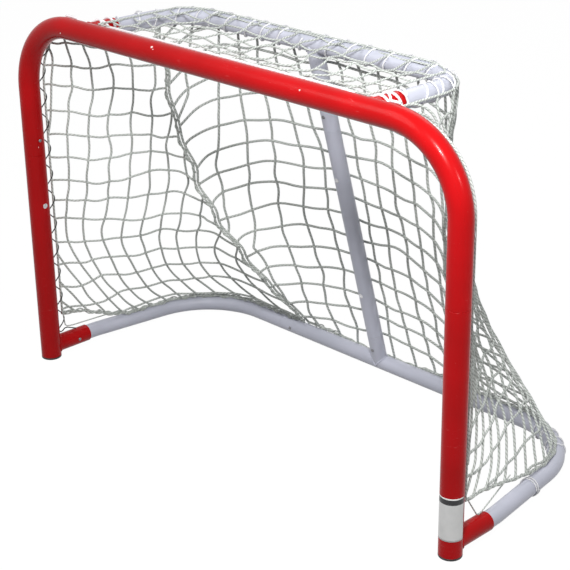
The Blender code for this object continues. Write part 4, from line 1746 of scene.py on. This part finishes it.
@dataclass
class NetPanel(ABC):
    """A panel of knotted net over a surface."""

    plan: GoalPlan
    seed: int
    column_size: float = 0.047
    row_size: float = 0.059
    slack: float = 0.003
    droop: float = 0.0035
    grid: tuple[int, int] = (44, 72)
    cord: float = 0.0022
    hems: list[Route] = field(default_factory=list)

    @abstractmethod
    def place(self, u: float, v: float) -> Vector:
        """Point of the surface, u across and v up, each from 0 to 1."""

    @abstractmethod
    def count(self, place: Vector, u: float, v: float) -> tuple[float, float]:
        """Column and row at a point, which need not be whole."""

    def fade(self, u: float, v: float) -> float:
        """Share of the slack that a place may have: none at the tied edges."""
        return min(1.0, 5 * min(u, 1 - u)) * min(1.0, 6 * min(v, 1 - v))

    def bent(self, u: float, v: float) -> Vector:
        """Point of the surface with the slack's drift added."""
        drift = noise.noise_vector(Vector((2.6 * u + self.seed, 3.4 * v, 0.3)))
        fine = noise.noise_vector(Vector((9.0 * u + self.seed, 11.0 * v, 4.1)))
        move = drift * self.slack * 2.2 + fine * self.slack * 0.7
        return self.place(u, v) + move * self.fade(u, v)

    def spot(self, u: float, v: float) -> Spot:
        """Spot of the grid, its knots drawn a little out of line."""
        flat = self.place(u, v)
        column, row = self.count(flat, u, v)
        slow, quick = 0.45, 1.1
        shift = noise.noise_vector(Vector((column * slow, row * slow, self.seed)))
        twist = noise.noise_vector(Vector((column * quick, row * quick, self.seed + 5)))
        return Spot(self.bent(u, v), column + 0.28 * shift.x + 0.10 * twist.x,
                    row + 0.30 * shift.y + 0.10 * twist.y, v)

    def slackened(self, spot: Spot, upright: bool) -> Vector:
        """Place of a spot with the sag of its length of cord between two knots."""
        along = spot.row if upright else spot.column
        cell = math.floor(along)
        share = along - cell
        other = round(spot.column if upright else spot.row)
        tint = noise.noise_vector(Vector((cell * 3.7, other * 5.3, self.seed + 0.5)))
        arch = 4 * share * (1 - share)
        if upright:
            return spot.place + (X * tint.x + Y * tint.y) * 0.006 * arch
        return spot.place - Z * self.droop * (0.55 + tint.z * 1.4) * arch

    def borders(self) -> list[Route]:
        """The panel's four edge cords."""
        steps = [n / 60 for n in range(61)]
        return [[self.place(0, t) for t in steps], [self.place(1, t) for t in steps],
                [self.place(t, 0) for t in steps], [self.place(t, 1) for t in steps]]

    def extend_up(self, head: Vector) -> Route:
        """Points that carry an upright strand on past its head and over the top rail."""
        return over_rail(self.plan, head)

    def mesh(self, name: str) -> Mesh:
        """Mesh of the strands as edges, and of the knots as marked points."""
        across, up = self.grid
        spots = [[self.spot(i / across, j / up) for j in range(up + 1)]
                 for i in range(across + 1)]
        lattice = Lattice(spots)
        routes = self.borders()
        for chain in lattice.lines(lambda spot: spot.column):
            if chain[0].v > chain[-1].v:
                chain.reverse()
            route = [self.slackened(spot, True) for spot in chain]
            if chain[-1].v > 0.999:
                self.hems.append([route[-1]] + self.extend_up(route[-1]))
            routes.append(route)
        knots: Route = []
        for chain in lattice.lines(lambda spot: spot.row):
            routes.append([self.slackened(spot, False) for spot in chain])
            knots += self.knots(chain)
        mesh = lines_mesh(name, [relaxed(route, 1) for route in routes])
        strands = len(mesh.vertices)
        mesh.vertices.add(len(knots))
        marks = mesh.attributes.new("knot", "BOOLEAN", "POINT")
        outward = mesh.attributes.new("outward", "FLOAT_VECTOR", "POINT")
        facing_out = self.outward()
        for n, knot in enumerate(knots):
            mesh.vertices[strands + n].co = knot
            marks.data[strands + n].value = True
            outward.data[strands + n].vector = facing_out
        return mesh

    @staticmethod
    def knots(chain: list[Spot]) -> Route:
        """Places of a row where its column is whole."""
        found = []
        for a, b in zip(chain, chain[1:]):
            low, high = sorted((a.column, b.column))
            level = math.ceil(low)
            if low < level <= high:
                found.append(a.place.lerp(b.place, (level - a.column) / (b.column - a.column)))
        return found

    def outward(self) -> Vector:
        """Direction square to the middle of the surface."""
        du = self.place(0.6, 0.5) - self.place(0.4, 0.5)
        dv = self.place(0.5, 0.6) - self.place(0.5, 0.4)
        return du.cross(dv).normalized()

    def build(self, name: str, tree: NetTree, blended: bool, node: str) -> None:
        """Make the panel and settle it.

        Args:
            name: The piece's name.
            tree: The tree that makes cords and knots.
            blended: Whether it stretches between the two frames.
            node: The CAD node that it stands for.
        """
        piece = tree.run(name, self.mesh(name), TWINE, Radius=self.cord, Sides=8,
                         Knot_Radius=1.35 * self.cord, Knot_Cord=0.9 * self.cord, Seed=self.seed)
        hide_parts(node)
        stretch_or_ride(piece, self.plan, blended)


def stretch_or_ride(piece: Piece, plan: GoalPlan, blended: bool) -> None:
    """Blend a piece between the two frames, or let it ride on the rear one.

    Args:
        piece: The piece.
        plan: The goal's plan.
        blended: Whether it reaches from one frame to the other.
    """
    if blended:
        past_edge, stretch = 0.004, 0.20
        start = Vector((0, plan.post_y + plan.net_edge + past_edge, 0))
        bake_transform(piece, Body.FRONT.value, Body.REAR.value, start, start + Y * stretch)
    else:
        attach(piece, Body.REAR.value)
    LOG.info("%s: %d faces", piece.name, len(piece.data.polygons))


def head_edge(plan: GoalPlan) -> Walk:
    """Outside of the top rail from its right arm's front, round the back, to the left one's."""
    half, depth = plan.shelf_half + plan.head_offset, plan.shelf_depth + plan.head_offset
    corners = [plan.shelf(x, y) for x, y in (
        (half, plan.net_edge), (half, depth), (-half, depth), (-half, plan.net_edge))]
    return Walk(rounded(corners, [plan.shelf_bend + plan.head_offset] * 2))


def hang(plan: GoalPlan, side: Side, foot: Vector, head: Vector, v: float,
         share: float = 1.0) -> Vector:
    """Point of a slack line between foot and head that hangs in towards the mouth.

    Args:
        plan: The goal's plan.
        side: Whose seam it is near: the right one is pulled taut.
        foot: Lower end.
        head: Upper end.
        v: Share of the way up.
        share: Share of a seam's sag, and of the kinks that its stitches pull in.

    Returns:
        The point.
    """
    deepest = plan.seam_sag if side is Side.LEFT else plan.taut_seam_sag
    sag = deepest * share * math.sin(math.pi * v)
    stitch = v * plan.seam_stitches
    low = math.floor(stitch)
    here, ahead = (0.5 * noise.noise(Vector((n * 2.7, 0.4, 1.9)))
                   + 0.5 * math.copysign(min(1.0, abs(math.sin(1.7 * n))), (-1) ** n)
                   for n in (low, low + 1))
    depth = plan.seam_kink if side is Side.LEFT else plan.taut_seam_kink
    kink = (here + (ahead - here) * (stitch - low)) * depth
    kink *= max(0.0, 4 * share - 3) * math.sin(math.pi * min(1.0, max(0.0, v))) ** 0.5
    way = 1 if head.x > 0 else -1
    return foot.lerp(head, v) + plan.brace_front() * sag + X * way * kink


def over_rail(plan: GoalPlan, start: Vector, count: int = 6) -> Route:
    """Points that carry a strand from the top rail's outside up and over it.

    Args:
        plan: The goal's plan.
        start: Where the strand meets the rail's outside.
        count: Points of the turn.

    Returns:
        The points.
    """
    bend_x = plan.shelf_half - plan.shelf_bend
    bend_y = plan.shelf_depth - plan.shelf_bend
    at = start - plan.shelf(0, 0)
    depth = at.dot(plan.back())
    centre = Vector((math.copysign(min(abs(at.x), bend_x), at.x), min(depth, bend_y)))
    out = Vector((at.x, depth)) - centre
    if out.length < 0.001:
        out = Vector((math.copysign(1, at.x), 0))
    out.normalize()
    axis_at = centre + out * plan.shelf_bend
    axis = plan.shelf(axis_at.x, axis_at.y)
    across = X * out.x + plan.back() * out.y
    points = []
    on_rail, turn = 0.0226, math.radians(95)
    for n in range(1, count + 1):
        angle = turn * n / count
        size = plan.head_offset + (on_rail - plan.head_offset) * n / count
        points.append(axis + (across * math.cos(angle) + plan.rise() * math.sin(angle)) * size)
    return points


@dataclass
class SidePanel(NetPanel):
    """Side of the net, from a post round to its corner seam."""

    side: Side = Side.RIGHT
    lean: float = 0.0
    shear: float = 0.0
    lift: float = 0.055
    lift_reach: float = 0.42

    def __post_init__(self) -> None:
        """Measure the four edges as a right panel's."""
        plan = self.plan
        self.foot = Walk(rounded([
            plan.base(plan.post_x, plan.net_edge, plan.foot_offset),
            plan.base(plan.base_half, plan.base_depth, plan.foot_offset),
            plan.base(plan.seam_foot + plan.net_seam, plan.base_depth, plan.foot_offset)],
            [plan.base_bend]))
        whole = head_edge(plan)
        reach = plan.seam_head_reach - plan.net_seam
        self.head = Walk([whole.at(reach * n / 20) for n in range(21)])
        at = plan.post_y + plan.net_edge
        front = rounded([
            Vector((plan.post_x, at, plan.net_foot)),
            Vector((plan.post_x, at, plan.crossbar_z)),
            Vector((plan.shelf_half + plan.head_offset, at, plan.crossbar_z))],
            [plan.bow_bend])
        lifted = []
        for n in range(121):
            near = max(0.0, 1 - n / 120 / self.lift_reach)
            lifted.append(self.foot.share(n / 120) + Z * self.lift * near * near * (3 - 2 * near))
        self.foot = Walk(lifted)
        front = [point for point in front if point.z > self.foot.share(0).z]
        self.front = Walk([self.foot.share(0)] + front[:-1] + [self.head.share(0)])
        self.seam = Walk([hang(plan, self.side, self.foot.share(1), self.head.share(1), n / 120)
                          for n in range(121)])

    def place(self, u: float, v: float) -> Vector:
        """Point of the panel, u from the post to the seam and v up."""
        front, seam = self.front.share(v), self.seam.share(v)
        foot, head = self.foot.share(u), self.head.share(u)
        corners = self.foot.share(0).lerp(self.foot.share(1), u).lerp(
            self.head.share(0).lerp(self.head.share(1), u), v)
        point = front.lerp(seam, u) + foot.lerp(head, v) - corners
        plan = self.plan
        deepest = plan.side_sag if self.side is Side.LEFT else plan.taut_side_sag
        point -= X * deepest * math.sin(math.pi * u) * math.sin(math.pi * v)
        return Vector((self.side.value * point.x, point.y, point.z))

    def count(self, place: Vector, u: float, v: float) -> tuple[float, float]:
        """Columns by their distance from the post in plan, rows by height."""
        plan = self.plan
        away = math.hypot(abs(place.x) - plan.post_x, place.y - plan.post_y - plan.net_edge)
        low = max(0.0, 1 - v / 0.30)
        away -= self.lean * low * low + self.shear * v
        return away / self.column_size, (plan.crossbar_z - place.z) / self.row_size


@dataclass
class BackPanel(NetPanel):
    """Back of the net, behind the brace, between the two corner seams."""

    def __post_init__(self) -> None:
        """Measure the head edge."""
        whole = head_edge(self.plan)
        reach = self.plan.seam_head_reach
        count = 60
        span = whole.length - 2 * reach
        self.head = Walk([whole.at(whole.length - reach - span * n / count)
                          for n in range(count + 1)])

    def place(self, u: float, v: float) -> Vector:
        """Point of the panel, u from left to right and v up."""
        plan = self.plan
        across = 2 * u - 1
        slack = max(abs(across) - plan.flat_back, 0) / (1 - plan.flat_back)
        slack *= slack * (3 - 2 * slack)
        flat_turn = math.asin(-plan.brace_front().z)
        turn = flat_turn + (plan.foot_turn - flat_turn) * slack
        offset = plan.net_offset + (plan.foot_offset - plan.net_offset) * slack
        foot = plan.base(across * plan.seam_foot, plan.base_depth + offset * math.cos(turn),
                         offset * math.sin(turn))
        side = Side.LEFT if across < 0 else Side.RIGHT
        return hang(plan, side, foot, self.head.share(u), v, slack)

    def fade(self, u: float, v: float) -> float:
        """Less slack over the brace, which the net lies against."""
        beside = min(1.0, abs(2 * u - 1) / 0.3)
        return super().fade(u, v) * (0.2 + 0.8 * beside)

    def bent(self, u: float, v: float) -> Vector:
        """Point of the panel, its drift kept off the brace."""
        flat = self.place(u, v)
        moved = super().bent(u, v)
        if abs(flat.x) > 0.06:
            return moved
        front = self.plan.brace_front()
        return moved - front * max((moved - flat).dot(front), 0.0)

    def count(self, place: Vector, u: float, v: float) -> tuple[float, float]:
        """Columns by distance from the middle, rows by height with a dip at the seams."""
        plan = self.plan
        inside = (1 - abs(2 * u - 1)) * (plan.seam_foot + 0.2 * v)
        dip = (0.02 + 0.11 * v) * math.exp(-inside / 0.09)
        return place.x / self.column_size + 0.5, (plan.crossbar_z - place.z - dip) / self.row_size


@dataclass
class TopPanel(NetPanel):
    """Top of the net, over the shelf between crossbar and top rail."""

    def place(self, u: float, v: float) -> Vector:
        """Point of the panel, u from left to right and v from the crossbar back."""
        plan = self.plan
        half = plan.shelf_half - plan.sleeve_radius - plan.net_gap - plan.net_cord / 2
        x = (2 * u - 1) * half
        past = max(abs(x) - (plan.shelf_half - plan.shelf_bend), 0)
        back = plan.shelf_depth - plan.shelf_bend + math.sqrt(plan.shelf_bend**2 - past**2)
        depth = plan.top_net_edge + (back - plan.top_net_edge) * v
        sag = 0.012 * math.sin(math.pi * u) * math.sin(math.pi * v)
        return plan.shelf(x, depth, plan.net_offset - sag)

    def count(self, place: Vector, u: float, v: float) -> tuple[float, float]:
        """Columns by distance from the middle, rows by depth."""
        depth = (place - self.plan.shelf(0, 0)).dot(self.plan.back())
        return place.x / self.column_size + 0.5, depth / self.row_size

    def extend_up(self, head: Vector) -> Route:
        """None: the top net's strands end at the rail."""
        return []


# Ropes and lacings


@dataclass
class Rigging:
    """Border ropes, rail wraps, ties and the black lacings."""

    plan: GoalPlan
    tree: CordTree
    knot_lift: float = 0.013

    def build(self, panels: Mapping[str, NetPanel]) -> None:
        """Build every rope and lacing.

        Args:
            panels: The net's panels by name.
        """
        self.build_top_wrap()
        self.build_hems(panels)
        self.build_borders(panels)
        self.build_crossbar_rope()
        self.build_ties()
        self.build_corner_ties(panels)
        for side in Side:
            self.build_lacing(side)

    def build_corner_ties(self, panels: Mapping[str, NetPanel]) -> None:
        """Cord from each raised corner of the net down to its base sleeve and up again.

        Args:
            panels: The net's panels by name.
        """
        plan = self.plan
        thick = 0.0015
        rest = plan.sleeve_radius + thick + 0.0003
        routes = []
        for side in Side:
            panel = panels[side.word]
            x = side.value * plan.post_x
            low, high = panel.place(0.0, 0.012), panel.place(0.24, 0.012)
            left = side is Side.LEFT
            top = plan.base(x, 0.050 if left else 0.086, rest + (self.knot_lift if left else 0))
            routes.append([low.lerp(top, n / 8) for n in range(8)]
                          + [top.lerp(high, n / 8) for n in range(9)])
        piece = self.cords("net_corner_ties", [relaxed(route, 1) for route in routes], TWINE, thick)
        stretch_or_ride(piece, plan, True)

    def cords(self, name: str, routes: Sequence[Route], finish: Finish, radius: float,
              sides: int = 10) -> Piece:
        """Cords along routes, as one piece."""
        total = sum((b - a).length for route in routes for a, b in zip(route, route[1:]))
        LOG.info("%s: %d cords, %.2f m in all", name, len(routes), total)
        return self.tree.run(name, lines_mesh(name, routes), finish, Radius=radius, Sides=sides)

    def wound(self, line: Walk, radius: float, pitch: float, start: float, end: float,
              phase: float = 0.0, ragged: float = 0.0, seed: int = 1) -> Route:
        """Helix round a line.

        Args:
            line: The line.
            radius: The helix's radius.
            pitch: Length of one turn.
            start: Distance along the line where it starts.
            end: Distance where it ends.
            phase: Its first angle, in turns.
            ragged: How uneven its pitch is.
            seed: Seed of the unevenness.

        Returns:
            The helix's points.
        """
        chance = random.Random(seed)
        lift = self.plan.rise()
        route = []
        turns = max(1, round((end - start) / pitch))
        shifts = [chance.uniform(-ragged, ragged) * pitch for _ in range(turns + 1)]
        for n in range(turns * 18 + 1):
            turn = n / 18
            near = int(min(turn, turns - 1))
            shift = shifts[near] + (shifts[near + 1] - shifts[near]) * (turn - near)
            distance = start + (end - start) * turn / turns + shift
            heading = line.heading(distance)
            up = (lift - heading * lift.dot(heading)).normalized()
            side = heading.cross(up)
            angle = math.tau * (turn + phase)
            route.append(line.at(distance) + (side * math.cos(angle) + up * math.sin(angle))
                         * radius)
        return route

    def build_top_wrap(self) -> None:
        """Cord wound round the top rail over the net's folded edge."""
        plan = self.plan
        line = Walk(RearFrame(plan).top_route())
        start = plan.shelf_plug + 0.006
        middle = line.length / 2
        clear = plan.rear_radius + 0.008
        radius = plan.rear_radius + 0.0021
        routes = []
        for begin, end, phase, seed in ((start, middle - clear, 0.1, 3),
                                        (middle + clear, line.length - start, 0.4, 4)):
            routes.append(self.wound(line, radius, 0.058, begin, end, phase, 0.16, seed))
        piece = self.cords("top_rail_wrap", routes, ROPE, 0.0019)
        settle(piece, ROPE, Body.REAR)

    def build_hems(self, panels: Mapping[str, NetPanel]) -> None:
        """Ends of the net's upright strands, laid over the top rail."""
        hems = [route for panel in panels.values() for route in panel.hems if len(route) > 2]
        piece = self.cords("top_rail_hem", hems, ROPE, 0.0017, 8)
        settle(piece, ROPE, Body.REAR)

    def build_borders(self, panels: Mapping[str, NetPanel]) -> None:
        """Bunched cords along the feet of the net, the seams and the rails."""
        feet: list[Route] = []
        for word in ("left", "right", "back"):
            panel = panels[word]
            line = Walk([panel.place(n / 60, 0.0) for n in range(61)])
            for phase, size, pitch in ((0.0, 0.0026, 0.050), (0.37, 0.0042, 0.068),
                                       (0.71, 0.0034, 0.041), (0.5, 0.0060, 0.057)):
                tight = 0.6 if word == "right" else 1.0
                feet.append(self.wound(line, size * tight, pitch, 0.004, line.length - 0.004,
                                       phase, 0.3, len(feet) + 11))
        piece = self.cords("net_foot_cords", feet, TWINE, 0.0016, 8)
        stretch_or_ride(piece, self.plan, True)
        seams = []
        for side in Side:
            panel = panels[side.word]
            edge = Walk([panel.place(1.0, n / 50) for n in range(51)])
            for size, pitch, phase, seed in ((0.0036, 0.036, 0.2, 20), (0.0026, 0.052, 0.7, 30)):
                seams.append(self.wound(edge, size, pitch, 0.01, edge.length - 0.01, phase, 0.35,
                                        seed + side.value))
        piece = self.cords("net_seam_cords", seams, TWINE, 0.0014, 8)
        settle(piece, TWINE, Body.REAR)

    def crossbar_point(self, x: float, angle: float, radius: float) -> Vector:
        """Point round the crossbar, the angle in degrees from the back upwards."""
        turn = math.radians(angle)
        plan = self.plan
        return Vector((x, plan.post_y + radius * math.cos(turn),
                       plan.crossbar_z + radius * math.sin(turn)))

    def build_crossbar_rope(self) -> None:
        """Rope behind the crossbar's top that takes a turn round each top sleeve."""
        plan = self.plan
        thick = 0.0028
        on_bar = plan.front_radius + thick + 0.0002
        on_sleeve = plan.sleeve_radius + thick + 0.0002
        half = plan.shelf_half
        route = [self.crossbar_point(-half - 0.075 + 0.0065 * n, 74 - 2.0 * n, on_bar)
                 for n in range(7)]
        for side in Side:
            turns = 2.5
            for n in range(int(turns * 24) + 1):
                share = n / (turns * 24)
                angle = math.pi - math.tau * turns * share
                out = share if side is Side.LEFT else share**2
                depth = plan.front_radius + thick + 0.003 + 0.040 * math.sin(math.pi * out)
                route.append(plan.shelf(side.value * half + on_sleeve * math.cos(angle), depth)
                             + plan.rise() * on_sleeve * math.sin(angle))
            if side is Side.LEFT:
                reach = half - on_sleeve - 0.03
                for n in range(49):
                    x = -reach + 2 * reach * n / 48
                    wave = 3.0 * noise.noise(Vector((x * 9, 0.7, 0)))
                    route.append(self.crossbar_point(x, 52 + wave, on_bar))
        route += [self.crossbar_point(half + 0.036 + 0.0065 * n, 62 + 2.0 * n, on_bar)
                  for n in range(7)]
        piece = self.cords("crossbar_rope", [relaxed(route, 2)], ROPE, thick, 12)
        settle(piece, ROPE, Body.FRONT)

    def build_ties(self) -> None:
        """Loops that tie the net's foot to the base rail near its right corner."""
        plan = self.plan
        routes = []
        line = Walk(RearFrame(plan).base_side_route(Side.RIGHT))
        for number, share in enumerate((0.33, 0.60, 0.64, 0.69, 0.75)):
            middle = share * line.length
            turns = 2 if number % 3 == 0 else 1
            size = plan.rear_radius + 0.0019
            routes.append(self.wound(line, size, 0.007, middle, middle + 0.0075 * turns,
                                     0.15 * number, 0.0, 40 + number))
        piece = self.cords("base_rail_ties", routes, ROPE, 0.0017)
        settle(piece, ROPE, Body.REAR)

    def build_lacing(self, side: Side) -> None:
        """Black lace that winds round the net's front edge, up the post and round the bend.

        Args:
            side: Which post.
        """
        plan = self.plan
        thick, half_width, lowest = 0.0014, 0.0047, 0.065
        near = plan.front_radius + plan.gap + thick
        far = plan.net_edge + half_width
        axis = Walk(rounded([
            Vector((side.value * plan.post_x, plan.post_y, lowest)),
            Vector((side.value * plan.post_x, plan.post_y, plan.crossbar_z)),
            Vector((0, plan.post_y, plan.crossbar_z))], [plan.bow_bend]))
        pitch, turns, steps = 0.0655, 12, 20
        inset = 0.010 if side is Side.RIGHT else 0.0
        route = []
        for n in range(turns * steps + 1):
            turn = n / steps
            angle = math.tau * turn
            away = (near + far) / 2 - (far - near) / 2 * math.cos(angle)
            distance = turn * pitch
            sideways = axis.heading(distance).cross(Y) * side.value
            route.append(axis.at(distance) + Y * away
                         + sideways * (half_width * math.sin(angle) + inset))
        route.reverse()
        if side is Side.LEFT:
            route += self.sleeve_knot(side, thick)
        piece = self.cords(side.word + "_black_lace", [relaxed(route, 1)], LACE, thick)
        settle(piece, LACE, Body.FRONT, side.word + "_lacing")

    def sleeve_knot(self, side: Side, thick: float) -> Route:
        """The lace's end, drawn up to the corner tie and down on the base sleeve.

        Args:
            side: Which sleeve.
            thick: The lace's radius.

        Returns:
            The end's points.
        """
        plan = self.plan
        foot = plan.sleeve_radius + thick + 0.0003
        x = side.value * plan.post_x
        return [plan.base(x, depth, lift) for depth, lift in (
            (0.034, foot), (0.040, foot + 0.006), (0.047, foot + self.knot_lift),
            (0.052, foot + self.knot_lift), (0.066, foot + 0.006), (0.082, foot))]


def relaxed(route: Route, times: int) -> Route:
    """Route with its inner points drawn to their neighbours' middle.

    Args:
        route: The points.
        times: How often.

    Returns:
        The smoother route.
    """
    for _ in range(times):
        route = [route[0]] + [(a + 2 * b + c) / 4 for a, b, c in
                              zip(route, route[1:], route[2:])] + [route[-1]]
    return route


def dress_couplers() -> None:
    """Give the CAD nodes that stay, the couplers, their finishes."""
    for node, thing in frame["nodes"].items():
        if not node.endswith("_coupler"):
            continue
        finish = RED if "post" in node else WHITE
        for slot in thing.material_slots:
            slot.material = finish.material
        LOG.info("%s: kept, %s", node, finish.label)


# Studio


@dataclass
class Studio:
    """Camera, lamps, floor and world."""

    plan: GoalPlan
    eye: tuple[float, float, float] = (2.316, -2.0984, 1.7706)
    yaw: float = 45.269
    pitch: float = 23.76
    roll: float = -0.902
    focal: float = 1551.1
    picture: int = 570
    aim: tuple[float, float, float] = (0, 0, 0.4)
    floor_grey: float = 0.36
    floor_light: float = 1.09
    floor_glow: float = 0.9
    daylight: float = 0.22

    def build(self) -> None:
        """Set up the whole studio."""
        self.place_camera()
        self.light_world()
        self.lay_floor()
        self.lamp("key", (1.02, -0.88, 1.62), 0.20, 20)
        self.lamp("rim", (3.4, -0.2, 2.3), 0.22, 24)
        self.lamp("fill", (-0.5, -1.5, 2.2), 1.5, 23)
        self.lamp("back", (-1.0, 2.8, 3.4), 2.4, 30)

    def place_camera(self) -> None:
        """Stand the camera where the photograph was taken from."""
        yaw, pitch, roll = (math.radians(a) for a in (self.yaw, self.pitch, self.roll))
        ahead = Vector((-math.sin(yaw) * math.cos(pitch), math.cos(yaw) * math.cos(pitch),
                        -math.sin(pitch)))
        right = Vector((math.cos(yaw), math.sin(yaw), 0))
        up = right.cross(ahead)
        across = right * math.cos(roll) + up * math.sin(roll)
        above = -right * math.sin(roll) + up * math.cos(roll)
        data = bpy.data.cameras.new("camera")
        data.sensor_width = 36.0
        data.lens = self.focal / self.picture * data.sensor_width
        data.dof.use_dof = False
        camera = linked("camera", data)
        turn = Matrix((across, above, -ahead)).transposed().to_4x4()
        place = Vector(self.eye) + Y * self.plan.post_y
        camera.matrix_world = Matrix.Translation(place) @ turn
        bpy.context.scene.camera = camera

    def lamp(self, name: str, place: tuple[float, float, float], size: float,
             power: float) -> None:
        """One soft area lamp that looks at the goal.

        Args:
            name: Its name.
            place: Where it hangs.
            size: Its width.
            power: Its power in watts.
        """
        data = bpy.data.lights.new(name, "AREA")
        data.shape = "DISK"
        data.size = size
        data.energy = power
        lamp = linked(name, data)
        towards = Vector(self.aim) - Vector(place)
        lamp.matrix_world = (Matrix.Translation(place)
                             @ towards.to_track_quat("-Z", "Y").to_matrix().to_4x4())

    @staticmethod
    def parted(graph: Graph, lit: Node, seen: Node, share: float,
               output: str) -> None:
        """End a tree in one shader that lights and another that is seen.

        Args:
            graph: The tree.
            lit: The shader for light that spreads.
            seen: The shader for rays of the camera, of gloss and of transmission.
            share: The second shader's share in those rays.
            output: The output node's type.
        """
        path = graph.node("ShaderNodeLightPath")
        camera, glossy, through = (graph.signal(path, f"Is {kind} Ray")
                                   for kind in ("Camera", "Glossy", "Transmission"))
        mix = graph.node("ShaderNodeMixShader", None, {
            0: camera.largest(glossy).largest(through) * share,
            1: lit.outputs[0], 2: seen.outputs[0]})
        graph.node(output, None, {"Surface": mix.outputs[0]})

    def light_world(self) -> None:
        """Soft light from all round, white where the camera or a gloss sees it."""
        world = bpy.data.worlds.new("studio")
        world.use_nodes = True
        bpy.context.scene.world = world
        graph = Graph(world.node_tree)
        world.node_tree.nodes.clear()
        dim, white = (graph.node("ShaderNodeBackground", None, {"Color": colour, "Strength": power})
                      for colour, power in (((0.95, 0.97, 1.0, 1), self.daylight),
                                            ((1, 1, 1, 1), 1.0)))
        self.parted(graph, dim, white, 1.0, "ShaderNodeOutputWorld")

    def lay_floor(self) -> None:
        """Pale floor that keeps a faint shadow."""
        mesh = bpy.data.meshes.new("floor")
        far = 14.0
        mesh.from_pydata([(-far, -far, 0), (far, -far, 0), (far, far, 0), (-far, far, 0)], [],
                         [(0, 1, 2, 3)])
        floor = linked("floor", mesh)
        floor.location.z = -0.0005
        material = bpy.data.materials.new("studio floor")
        material.use_nodes = True
        graph = Graph(material.node_tree)
        material.node_tree.nodes.clear()
        grey = (self.floor_grey,) * 3
        matt = graph.node("ShaderNodeBsdfDiffuse", None, {"Color": (*grey, 1)})
        glow = graph.node("ShaderNodeEmission", None,
                          {"Color": (1, 1, 1, 1), "Strength": self.floor_light})
        self.parted(graph, matt, glow, self.floor_glow, "ShaderNodeOutputMaterial")
        mesh.materials.append(material)


def main() -> None:
    """Build the goal and its studio."""
    noise.seed_set(NET_SEED)
    bpy.context.scene.view_settings.view_transform = "Standard"
    Studio(PLAN).build()
    beads = BeadTree()
    FrontFrame(PLAN).build(beads)
    RearFrame(PLAN).build(beads)
    SnapButtons(PLAN).build()
    panels: dict[str, NetPanel] = {
        "left": SidePanel(PLAN, 5, side=Side.LEFT, lean=0.18, shear=0.095, cord=0.0027,
                          lift_reach=0.28),
        "right": SidePanel(PLAN, 8, side=Side.RIGHT, lean=-0.09, cord=0.0027,
                           column_size=0.041, row_size=0.052),
        "back": BackPanel(PLAN, 12, column_size=0.061, row_size=0.057, cord=0.0030),
        "top": TopPanel(PLAN, 17, column_size=0.064, row_size=0.058, slack=0.009,
                        droop=0.009, grid=(60, 24)),
    }
    nets = NetTree()
    for word, panel in panels.items():
        node = word + "_net" if word in ("back", "top") else word + "_side_net"
        panel.build(word + "_netting", nets, word != "back", node)
    Rigging(PLAN, CordTree()).build(panels)
    dress_couplers()


if __name__ == "__main__":
    main()
